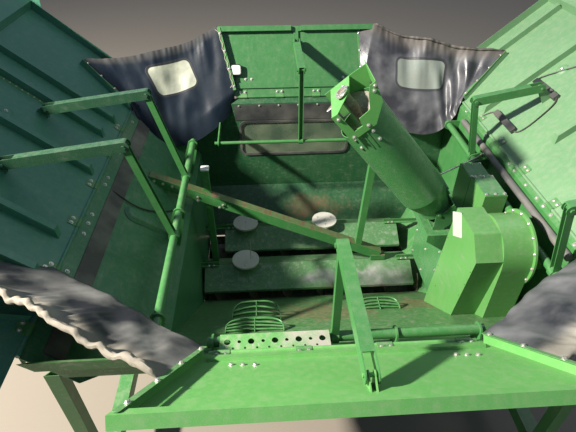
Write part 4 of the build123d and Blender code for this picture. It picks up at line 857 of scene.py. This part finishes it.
# Step grids: flat bar bent to an arch with a spine and curved rungs, welded to the rear slope
bar_tree, bar_in, bar_out = new_tree(
    "bent_flat_bar",
    ("Width", "NodeSocketFloat", 0.006),
    ("Depth", "NodeSocketFloat", 0.020),
    ("Material", "NodeSocketMaterial", None),
)
run = put(bar_tree, "GeometryNodeMeshToCurve", ((0, bar_in["Geometry"]),)).outputs[0]
run = put(bar_tree, "GeometryNodeSetCurveNormal", (("Curve", run),), mode="Z_UP").outputs[0]
section = put(
    bar_tree, "GeometryNodeCurvePrimitiveQuadrilateral", (("Width", bar_in["Width"]), ("Height", bar_in["Depth"])), mode="RECTANGLE",
).outputs[0]
run = put(bar_tree, "GeometryNodeCurveToMesh", (("Curve", run), ("Profile Curve", section), ("Fill Caps", True))).outputs[0]
close_tree(bar_tree, run, bar_in, bar_out)
routes = []
for middle, z, width, reach in ((-0.405, 0.550, 0.322, 0.179), (-0.410, 0.720, 0.352, 0.104), (0.475, 0.420, 0.282, 0.115)):
    root = 0.152 - (z + 0.004) / slope_rise
    arch = []
    for k in range(25):
        turn = math.pi * k / 24
        bow = math.copysign(abs(math.cos(turn)) ** 0.55, math.cos(turn))
        arch.append((middle - bow * width / 2, root + reach * math.sin(turn) ** 0.55, z))
    routes.append(arch)
    routes.append([(middle, root, z), (middle, root + reach * 0.5, z), (middle, root + reach - 0.003, z)])
    for share in (0.22, 0.48, 0.74):
        rung = []
        for k in range(13):
            x = -1 + k / 6
            rung.append((middle + x * (width / 2 - 0.004), root + reach * share * (1 - 0.30 * x * x), z))
        routes.append(rung)
grid_bars = grown("grid_bars", "tank", "painted_frame", bar_tree, chains("grid_bars", *routes), frame_paint, Width=0.006, Depth=0.020)
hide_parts("step_grids")

# Seals: rubber strips and a roll inside the side hinges, and a flap over the front one
dusty_rubber = moulded("dusty_rubber", (0.060, 0.052, 0.046), 0.7, 40.0, 0.6)
dress(seal_rubber, "front_flap")
dress(dusty_rubber, "seal_left")
roll_rubber = moulded("roll_rubber", (0.095, 0.092, 0.088), 0.55, 60.0, 0.45)
dress(roll_rubber, "seal_right")
seats = [((x, 1.2715, 1.235), (0, -1, 0)) for x in (-0.52, -0.34, -0.17, 0, 0.17, 0.34, 0.52)]
fasten("flap_screws", "tank", seats, 0.007, 0.004)

# Extensions: pressed sheet trays with ribs and end flanges, hung on strap hinges along the rim
lean = {"left": 41.35, "right": 41.35, "front": 60.0, "rear": 38.0}
outward = {"left": (-1, 0), "right": (1, 0), "front": (0, 1), "rear": (0, -1)}
along = {"left": Vector((0, 1, 0)), "right": Vector((0, 1, 0)), "front": Vector((1, 0, 0)), "rear": Vector((1, 0, 0))}


def inward(name):
    """Way out of an extension's inner face."""
    tilt = math.radians(lean[name])
    x, y = outward[name]
    return Vector((-x * math.sin(tilt), -y * math.sin(tilt), math.cos(tilt)))


def on_panel(name, rise, run, height):
    """Point by its distance up an extension's sheet from the hinge, along the hinge and off the face."""
    tilt = math.radians(lean[name])
    x, y = outward[name]
    foot = Vector((x * half_width, y * half_length, rim))
    up = Vector((x * math.cos(tilt), y * math.cos(tilt), math.sin(tilt)))
    return foot + up * rise + along[name] * run + inward(name) * height


# Columns: paint, dust and gloss of each panel. The paints hold painted light: the right and rear ones are
# paler and yellower as painted sunlight, the left one darker and bluer as painted shade with a sky reflection
lit_and_shaded_panel_paints = {
    side: coated(f"{side}_painted_light_panel_enamel", paint, 0.12, dust, 0.0, gloss)
    for side, paint, dust, gloss in (
        ("left", (0.046, 0.180, 0.115), 0.22, 0.32),
        ("right", (0.125, 0.255, 0.125), 0.45, 0.36),
        ("front", (0.034, 0.140, 0.042), 0.22, 0.30),
        ("rear", (0.094, 0.300, 0.072), 0.38, 0.34),
    )
}
for side, paint in lit_and_shaded_panel_paints.items():
    dress(paint, "extension_" + side)

leaf_tree, leaf_in, leaf_out = new_tree("strap_hinges", ("Length", "NodeSocketFloat", 0.07), ("Material", "NodeSocketMaterial", None))
leaf_size = put(leaf_tree, "ShaderNodeCombineXYZ", (("X", leaf_in["Length"]), ("Y", 0.050), ("Z", 0.003))).outputs[0]
leaf = put(leaf_tree, "GeometryNodeMeshCube", (("Size", leaf_size),)).outputs["Mesh"]
leaf = put(leaf_tree, "GeometryNodeTransform", (("Geometry", leaf), ("Translation", (0, 0.036, 0.0018)))).outputs[0]
sleeve = put(
    leaf_tree, "GeometryNodeMeshCylinder", (("Vertices", 18), ("Radius", 0.0128), ("Depth", leaf_in["Length"])),
).outputs["Mesh"]
sleeve = put(leaf_tree, "GeometryNodeTransform", (("Geometry", sleeve), ("Rotation", (0, math.pi / 2, 0)))).outputs[0]
close_tree(leaf_tree, seated_shape(leaf_tree, leaf_in["Geometry"], joined(leaf_tree, leaf, sleeve), 0.0), leaf_in, leaf_out)

dish_tree, dish_in, dish_out = new_tree("pressed_dishes", ("Material", "NodeSocketMaterial", None))
dish = put(
    dish_tree, "GeometryNodeMeshCone", (("Vertices", 28), ("Radius Top", 0.032), ("Radius Bottom", 0.046), ("Depth", 0.007)),
).outputs["Mesh"]
close_tree(dish_tree, seated_shape(dish_tree, dish_in["Geometry"], dish, 0.0), dish_in, dish_out)

strip_steel = coated("strip_enamel", (0.052, 0.190, 0.052), 0.30, 0.38, 0.03, 0.36)
cloth_top = 0.0446
strip_depth = 0.003
leaf_runs = {"left": 1.14, "right": 1.14, "front": 0.48, "rear": 0.53}
dishes = {"left": (0.618, 0.209, -0.200, -0.610), "right": (0.689, 0.280, -0.130, -0.540), "front": (), "rear": ()}
face_screws = {
    "left": (),
    "right": (),
    "front": ((0.150, -0.450), (0.150, -0.400), (0.150, 0.400), (0.150, 0.450)),
    "rear": ((0.170, -0.478), (0.178, -0.431), (0.185, -0.383), (0.189, 0.419), (0.197, 0.461), (0.203, 0.504)),
}
# Edge strips that clamp the corner cloths: rise and distance from the middle at foot and top
edge_strips = {
    "left": ((0.032, 1.109), (0.500, 1.301)),
    "right": ((0.032, 1.109), (0.500, 1.301)),
    "front": ((0.055, 0.545), (0.575, 0.662)),
    "rear": ((0.055, 0.594), (0.680, 0.766)),
}
# Strips where the cloth goes on past the bar and lies on the sheet
laid_strips = {
    ("left", -1): ((0.032, -0.766), (0.500, -0.976)),
    ("right", -1): ((0.032, -0.766), (0.500, -0.976)),
    ("front", 1): ((0.065, 0.566), (0.565, 0.536)),
}
laid_top = 0.0052
for name in lean:
    body = name + "_extension"
    lie = along[name] * (1 if name in ("left", "front") else -1)
    out = inward(name)
    runs = [leaf_runs[name] * (-1 + k / (3 if half_width - leaf_runs[name] < 0.5 else 1.5)) for k in range(7 if name in ("left", "right") else 4)]
    seats = [(on_panel(name, 0, run, 0), out, lie) for run in runs]
    grown(name + "_hinges", body, "painted_frame", leaf_tree, points_mesh(name + "_hinges", seats), strip_steel, Length=0.07)
    seats = [(on_panel(name, 0.040, run + shift, 0.0033), out) for run in runs for shift in (-0.02, 0.02)]
    seats += [(on_panel(name, rise, run, 0), out) for rise, run in face_screws[name]]
    if dishes[name]:
        spots = [(on_panel(name, 0.655, run, 0), out) for run in dishes[name]]
        grown(name + "_dishes", body, "painted_sheet", dish_tree, points_mesh(name + "_dishes", spots), lit_and_shaded_panel_paints[name])
        seats += [(spot + out * 0.007, out) for spot, out in spots]
    (foot_rise, foot_run), (top_rise, top_run) = edge_strips[name]
    rows = []
    for way in (1, -1):
        lying = laid_strips.get((name, way))
        if lying:
            foot, top = [on_panel(name, rise, run, laid_top) for rise, run in lying]
        else:
            foot = on_panel(name, foot_rise, way * foot_run, cloth_top)
            top = on_panel(name, top_rise, way * top_run, cloth_top)
        rows.append((foot, top, out, 0.026, strip_depth))
        seats += [(foot.lerp(top, share) + out * strip_depth, out) for share in (0.06, 0.34, 0.62, 0.90)]
    planks(name + "_cloth_strips", body, strip_steel, rows)
    fasten(name + "_screws", body, seats, 0.0080, 0.0055)

# Riveted rail and wiring: a narrow rail on the left extension, two boxes and their cables on the right one
planks("left_rail", "left_extension", strip_steel, (
    (on_panel("left", 0.45, 0.508, 0), on_panel("left", 1.0, 0.508, 0), inward("left"), 0.022, 0.002),
))
fasten(
    "rail_rivets", "left_extension",
    [(on_panel("left", 0.47 + 0.04 * k, 0.508, 0.002), inward("left")) for k in range(14)], 0.0045, 0.003,
)
box_plastic = moulded("box_plastic", (0.022, 0.023, 0.024), 0.40, 120.0, 0.30)
planks("wiring_boxes", "right_extension", box_plastic, (
    (on_panel("right", 0.135, 0.697, 0.0), on_panel("right", 0.135, 0.388, 0.0), inward("right"), 0.045, 0.030),
    (on_panel("right", 0.480, 0.741, 0.0), on_panel("right", 0.480, 0.432, 0.0), inward("right"), 0.045, 0.030),
))
cable(
    "panel_cables", "right_extension", 0.0050, cable_black,
    [on_panel("right", *spot) for spot in ((0.135, 0.40, 0.012), (0.136, 0.36, 0.008), (0.20, 0.345, 0.006), (0.34, 0.37, 0.006),
                                           (0.470, 0.40, 0.008), (0.480, 0.44, 0.012))],
    [on_panel("right", *spot) for spot in ((0.480, 0.73, 0.012), (0.50, 0.77, 0.008), (0.60, 0.70, 0.006), (0.70, 0.63, 0.006),
                                           (0.73, 0.61, 0.006))],
    [on_panel("right", *spot) for spot in ((0.135, 0.69, 0.012), (0.130, 0.73, 0.008), (0.09, 0.76, 0.006), (0.05, 0.765, 0.006))],
)

# Work light: a moulded housing with a ribbed rim and a pale lens, its cable clipped down the extension
light_middle = Vector(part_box("work_light")[0]).lerp(Vector(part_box("work_light")[1]), 0.5)
light_run = light_middle.x
light_rise = 0.225


def light_ring(mesh, half, height, corner=0.35, steps=40):
    """Ring of points on a rounded square at a height off the front extension's face."""
    row = []
    for k in range(steps):
        turn = math.tau * k / steps
        x = math.copysign(abs(math.cos(turn)) ** corner, math.cos(turn)) * half
        y = math.copysign(abs(math.sin(turn)) ** corner, math.sin(turn)) * half
        row.append(mesh.verts.new(on_panel("front", light_rise + y, light_run + x, height)))
    return row


def rounded_square(name, rings, finish, cap_start, cap_end):
    mesh = bmesh.new()
    rows = [light_ring(mesh, half, height) for half, height in rings]
    for low, high in zip(rows, rows[1:]):
        for k in range(len(low)):
            mesh.faces.new((low[k], low[(k + 1) % len(low)], high[(k + 1) % len(low)], high[k]))
    if cap_start:
        mesh.faces.new(rows[0])
    if cap_end:
        mesh.faces.new(rows[-1])
    bmesh.ops.recalc_face_normals(mesh, faces=mesh.faces)
    data = bpy.data.meshes.new(name)
    mesh.to_mesh(data)
    mesh.free()
    data.materials.append(finish)
    piece = bpy.data.objects.new(name, data)
    bpy.context.scene.collection.objects.link(piece)
    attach(piece, "front_extension")
    return piece


lamp_black = moulded("lamp_housing", (0.015, 0.015, 0.017), 0.35)
lens_pale = moulded("lens_glass", (0.55, 0.57, 0.55), 0.12, 45.0, 0.15, 0.0020)
housing = rounded_square("light_housing", (
    (0.030, 0.0005), (0.040, 0.001), (0.044, 0.010), (0.046, 0.012), (0.046, 0.020), (0.044, 0.022), (0.044, 0.026),
    (0.046, 0.028), (0.046, 0.038), (0.044, 0.0405), (0.040, 0.0405), (0.039, 0.035),
), lamp_black, True, True)
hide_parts("work_light")
rounded_square("light_lens", ((0.0388, 0.0352), (0.0386, 0.0385), (0.030, 0.0398), (0.012, 0.0403)), lens_pale, True, True)
cable(
    "light_cable", "front_extension", 0.0045, cable_black,
    [on_panel("front", *spot) for spot in ((light_rise - 0.040, light_run, 0.014), (light_rise - 0.062, light_run - 0.004, 0.007),
                                           (0.130, light_run - 0.010, 0.006), (0.075, light_run - 0.012, 0.006))],
)

# Corner cloths: coated cloth clamped between a side and an end extension, in two halves sewn at a seam.
# The hem is rolled, gathered and dusty, the front ones have clear panes, and one edge is laced.
def pane_masks(tree, u, v, centre, half, lean_u, lean_v, corner=0.042):
    """Masks of a rounded pane and of its sewn border, in the cloth's own map of u and v."""
    u_metres, v_metres = 0.5, 0.7
    off_u = maths(tree, "SUBTRACT", u, centre[0])
    off_v = maths(tree, "SUBTRACT", v, centre[1])
    x = maths(tree, "MULTIPLY", maths(tree, "SUBTRACT", off_u, maths(tree, "MULTIPLY", off_v, lean_u)), u_metres)
    y = maths(tree, "MULTIPLY", maths(tree, "SUBTRACT", off_v, maths(tree, "MULTIPLY", off_u, lean_v)), v_metres)
    reach = []
    for value, limit in ((x, half[0]), (y, half[1])):
        beyond = maths(tree, "SUBTRACT", maths(tree, "ABSOLUTE", value, 0.0), limit - corner)
        reach.append(maths(tree, "MAXIMUM", beyond, 0.0))
    round_part = maths(tree, "SQRT", maths(tree, "ADD", maths(tree, "POWER", reach[0], 2.0), maths(tree, "POWER", reach[1], 2.0)), 0.0)
    edge = maths(tree, "SUBTRACT", round_part, corner)
    inside = put(tree, "ShaderNodeMapRange", (("Value", edge), ("From Min", 0.002), ("From Max", -0.002))).outputs[0]
    border = put(
        tree, "ShaderNodeMapRange",
        (("Value", maths(tree, "ABSOLUTE", maths(tree, "SUBTRACT", edge, 0.009), 0.0)), ("From Min", 0.011), ("From Max", 0.008)),
    ).outputs[0]
    return inside, border


def coated_cloth(name, tone, dust_and_sheen_tone, dust, gloss, sheen, hem_tone, pane=None, pane_tone=(0.42, 0.42, 0.32, 1)):
    """Coated cloth with creases, dust on its hem and, where asked, a clear pane with a sewn border."""
    finish = bpy.data.materials.new(name)
    finish.use_nodes = True
    tree = finish.node_tree
    shader = tree.nodes["Principled BSDF"]
    coords = tree.nodes.new("ShaderNodeTexCoord")
    spot = coords.outputs["Object"]
    map_uv = put(tree, "ShaderNodeSeparateXYZ", ((0, coords.outputs["UV"]),))
    u, v = map_uv.outputs["X"], map_uv.outputs["Y"]
    shader.inputs["Specular IOR Level"].default_value = sheen
    film = speckle(tree, spot, 4.5, 6, 0.40, 0.72)
    crease = speckle(tree, spot, 9.0, 6, 0.25, 0.75)
    weave = speckle(tree, spot, 420.0, 2, 0.3, 0.7)
    hem = put(tree, "ShaderNodeAttribute", attribute_name="hem").outputs["Fac"]
    colour = blend_colour(tree, maths(tree, "MULTIPLY", film, dust, True), (*tone, 1), dust_and_sheen_tone)
    rough = maths(tree, "ADD", maths(tree, "MULTIPLY", film, 0.22), gloss, True)
    if pane:
        inside, border = pane_masks(tree, u, v, *pane)
        colour = blend_colour(tree, maths(tree, "MULTIPLY", border, 0.65), colour, (0.030, 0.030, 0.032, 1))
        hazed = blend_colour(tree, crease, pane_tone, (0.20, 0.21, 0.18, 1))
        colour = blend_colour(tree, inside, colour, hazed)
        rough = maths(tree, "SUBTRACT", rough, maths(tree, "MULTIPLY", inside, 0.14), True)
        crease = maths(tree, "ADD", crease, maths(tree, "MULTIPLY", border, 0.5))
    gathered = maths(tree, "MULTIPLY", hem, maths(tree, "ADD", maths(tree, "MULTIPLY", film, 0.35), 0.55), True)
    colour = blend_colour(tree, gathered, colour, (*hem_tone, 1))
    rough = maths(tree, "ADD", rough, maths(tree, "MULTIPLY", hem, 0.25), True)
    relief = maths(tree, "ADD", crease, maths(tree, "MULTIPLY", weave, 0.05))
    bump = put(tree, "ShaderNodeBump", (("Height", relief), ("Strength", 0.35), ("Distance", 0.006)))
    wire(
        tree,
        (colour, shader.inputs["Base Color"]),
        (rough, shader.inputs["Roughness"]),
        (bump.outputs[0], shader.inputs["Normal"]),
    )
    return finish


cloth_thickness = 0.003


def ease(x):
    x = min(1.0, max(0.0, x))
    return x * x * (3 - 2 * x)


def down_edge(edge, v):
    """Point of an edge given by its hem, its crest over the hinges and its foot."""
    if v < crest:
        return edge[0].lerp(edge[1], v / crest)
    return edge[1].lerp(edge[2], (v - crest) / (1 - crest))


def corner_surface(side_edge, seam, end_edge, side_tail, end_tail):
    """The corner's smooth surface: u is 0 on the side clamp, 1 on the seam and 2 on the end stile, and
    goes past them over a tail where the cloth lies on the sheet; v is 0 at the hem and 1 at the foot."""
    def at(u, v):
        a, s, b = down_edge(side_edge, v), down_edge(seam, v), down_edge(end_edge, v)
        if u < 0 and side_tail:
            return a.lerp(down_edge(side_tail, v), -u / tail_span)
        if u > 2 and end_tail:
            return b.lerp(down_edge(end_tail, v), (u - 2) / tail_span)
        return a * ((1 - u) * (2 - u) / 2) + s * (u * (2 - u)) + b * (u * (u - 1) / 2)
    return at


tail_span = 0.30
crest = 0.80


def fold_height(u, v, folds, seed, hem_size, hem_depth):
    """How far the cloth stands off its smooth surface."""
    count, depth, skew, near, soft = folds
    held = ease(u / 0.30) * ease((2 - u) / 0.30) if 0 < u < 2 else 0.0
    band = 1.0 if near is None else 1 - ease((u - near) / 0.5)
    wave = math.sin(math.tau * (count * u * (1 + 0.35 * v) + skew * v + seed)) * depth * band
    drift = noise.noise(Vector((u * 1.7, v * 1.5, seed * 7.3))) * soft
    wrinkle = noise.noise(Vector((u * 5.5, v * 3.0, seed * 3.1))) * soft * 0.28
    pucker = noise.noise(Vector((u * 19, seed * 5, v * 6))) * hem_size * 1.3 * math.exp(-v / hem_depth)
    return held * (wave * (0.45 + 0.55 * math.sin(math.pi * min(1, v + 0.15))) + drift + wrinkle + pucker)


def cloth_half(name, at, span, folds, seed, sag, hem_size, hem_depth, finish, body, node, flip):
    """One half of a corner cloth, from the first to the last u of its span."""
    across, down, roll = 66, 36, 6
    verts, hems, maps = [], [], []
    tiny = 0.004
    for j in range(-roll, down + 1):
        v = max(0, j) / down
        for i in range(across + 1):
            u = span[0] + (span[1] - span[0]) * i / across
            p = at(u, v)
            slope_u = at(u + tiny, v) - at(u - tiny, v)
            slope_v = at(u, v + tiny) - at(u, v - tiny)
            normal = slope_u.cross(slope_v).normalized()
            inside_span = 0 < u < 2
            drop = sag * math.sin(math.pi * u) ** 2 * (1 - v) ** 2 if inside_span else 0.0
            p = p + normal * fold_height(u, v, folds, seed, hem_size, hem_depth) - Vector((0, 0, drop))
            if j < 0 and inside_span:
                turn = math.radians(300) * -j / roll
                size = hem_size * (1 + 0.5 * noise.noise(Vector((u * 9, seed * 9, 0)))) * ease(min(u, 2 - u) / 0.05)
                p = p - slope_v.normalized() * size * math.sin(turn) + normal * size * (1 - math.cos(turn))
            verts.append(p)
            hems.append(ease(1.3 - v / hem_depth) if j >= 0 else 1.0)
            maps.append((u, v))
    row = across + 1
    faces = []
    for j in range(down + roll):
        for i in range(across):
            quad = (j * row + i, j * row + i + 1, (j + 1) * row + i + 1, (j + 1) * row + i)
            faces.append(quad if flip else quad[::-1])
    mesh = bpy.data.meshes.new(name)
    mesh.from_pydata(verts, [], faces)
    hem_mask = mesh.attributes.new("hem", "FLOAT", "POINT")
    hem_mask.data.foreach_set("value", hems)
    layer = mesh.uv_layers.new(name="map")
    for loop in mesh.loops:
        layer.data[loop.index].uv = maps[loop.vertex_index]
    mesh.polygons.foreach_set("use_smooth", [True] * len(mesh.polygons))
    mesh.materials.append(finish)
    piece = bpy.data.objects.new(name, mesh)
    bpy.context.scene.collection.objects.link(piece)
    thick = piece.modifiers.new("thickness", "SOLIDIFY")
    thick.thickness = cloth_thickness
    thick.offset = 0
    mesh = bpy.data.meshes.new_from_object(piece.evaluated_get(bpy.context.evaluated_depsgraph_get()))
    mesh.set_sharp_from_angle(angle=math.radians(50))
    piece.modifiers.remove(thick)
    piece.data = mesh
    tall = max((at(u, 0) - at(u, 1)).length for u in span) * 1.12
    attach(piece, body)
    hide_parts(node)
    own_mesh(piece)


# Columns: side, end, signs of X and Y, the seam's hem, crest and foot, folds (count, depth, skew, where
# they stop, softness), seed, sag, the hem's size and depth, and the cloth
corner_cloths = (
    ("left", "front", -1, 1, ((-1.154, 1.450, 1.675), (-1.080, 1.130, 1.120), (-1.050, 1.050, 0.985)),
     (1.3, 0.008, 0.6, None, 0.055), 0.37, 0.010, 0.009, 0.07,
     coated_cloth("cloth_front_left", (0.006, 0.011, 0.019), (0.040, 0.050, 0.062, 1), 0.18, 0.46, 0.16, (0.060, 0.058, 0.055),
                  ((1.128, 0.300), (0.165, 0.105), 0.40, 0.0), (0.42, 0.43, 0.33, 1))),
    # The right front cloth's thick grey film is partly dust and partly painted highlight for the cloth's sheen.
    ("right", "front", 1, 1, ((1.138, 1.450, 1.717), (1.125, 1.150, 1.150), (1.120, 1.080, 1.012)),
     (3.2, 0.018, 0.9, 0.55, 0.060), 0.71, 0.020, 0.010, 0.13,
     coated_cloth("cloth_front_right", (0.030, 0.030, 0.036), (0.20, 0.20, 0.21, 1), 0.60, 0.29, 0.40, (0.105, 0.088, 0.074),
                  ((1.134, 0.370), (0.200, 0.105), 0.0, 0.09), (0.20, 0.23, 0.21, 1))),
    ("left", "rear", -1, -1, (None, None, (-1.060, -1.020, 1.130)),
     (2.1, 0.004, 0.9, None, 0.026), 0.13, 0.015, 0.014, 0.22,
     coated_cloth("cloth_rear_left", (0.020, 0.021, 0.026), (0.20, 0.195, 0.18, 1), 1.00, 0.50, 0.35, (0.33, 0.29, 0.225))),
    ("right", "rear", 1, -1, (None, None, (1.075, -1.020, 1.150)),
     (2.3, 0.005, 0.8, None, 0.026), 0.59, 0.015, 0.014, 0.22,
     coated_cloth("cloth_rear_right", (0.020, 0.021, 0.026), (0.16, 0.16, 0.165, 1), 0.95, 0.40, 0.45, (0.30, 0.27, 0.22))),
)
# Each edge's hem and crest by rise and run; at the rear the cloth is clamped inward of the side stiles
clamp_points = {
    ("left", "front"): ((0.505, 1.2925), (0.0243, 1.0985)),
    ("left", "rear"): ((0.505, -0.974), (0.025, -0.758)),
    ("right", "front"): ((0.505, 1.2925), (0.0243, 1.0985)),
    ("right", "rear"): ((0.505, -0.974), (0.025, -0.758)),
    ("front", "left"): ((0.582, -0.6735), (0.044, -0.5535)),
    ("front", "right"): ((0.582, 0.6735), (0.044, 0.5535)),
    ("rear", "left"): ((0.414, -0.7089), (0.044, -0.6035)),
    ("rear", "right"): ((0.414, 0.7089), (0.044, 0.6035)),
}
tail_points = {("front", "right"): ((0.575, 0.530), (0.060, 0.560))}
hang = {"left": 0.0, "right": 0.0, "front": 0.150, "rear": 0.0}


def clamp_edge(name, other, height):
    hem, top = [on_panel(name, rise, run, height) for rise, run in clamp_points[name, other]]
    return hem, top, top + (top - hem).normalized() * 0.004 - Vector((0, 0, hang[name]))


for side, end, sx, sy, seam, folds, seed, sag, hem_size, hem_depth, finish in corner_cloths:
    side_edge = clamp_edge(side, end, 0.0428 if end == "front" else 0.0040)
    end_edge = clamp_edge(end, side, 0.0448)
    seam = list(seam)
    for row in (0, 1):
        if seam[row] is None:
            seam[row] = side_edge[row].lerp(end_edge[row], 0.5)
    seam = [Vector(point) for point in seam]
    tail = [on_panel(end, rise, run, 0.0035) for rise, run in tail_points.get((end, side), ())]
    if tail:
        tail.append(tail[1] - Vector((0, 0, 0.004)))
    at = corner_surface(side_edge, seam, end_edge, (), tail)
    cloth_half(
        f"cloth_{side}_{end}_side", at, (0.0, 1.0), folds, seed, sag, hem_size, hem_depth, finish,
        side + "_extension",
        "side_fabrics_" + side, sx * sy > 0,
    )
    cloth_half(
        f"cloth_{side}_{end}_end", at, (1.0, 2 + tail_span if tail else 2.0), folds, seed, sag, hem_size, hem_depth,
        finish, end + "_extension",
        "end_fabrics_" + end, sx * sy > 0,
    )

lace_tan = moulded("lace_cord", (0.30, 0.26, 0.20), 0.7, 300.0, 0.3)
lacing = []
for k in range(13):
    rise = 0.075 + 0.040 * k
    stile_run = 0.5535 + (rise - 0.044) * 0.223
    lacing.append(on_panel("front", rise, -(stile_run - 0.030 if k % 2 else stile_run + 0.022), 0.0500))
cable("cloth_lace", "front_extension", 0.0030, lace_tan, lacing)
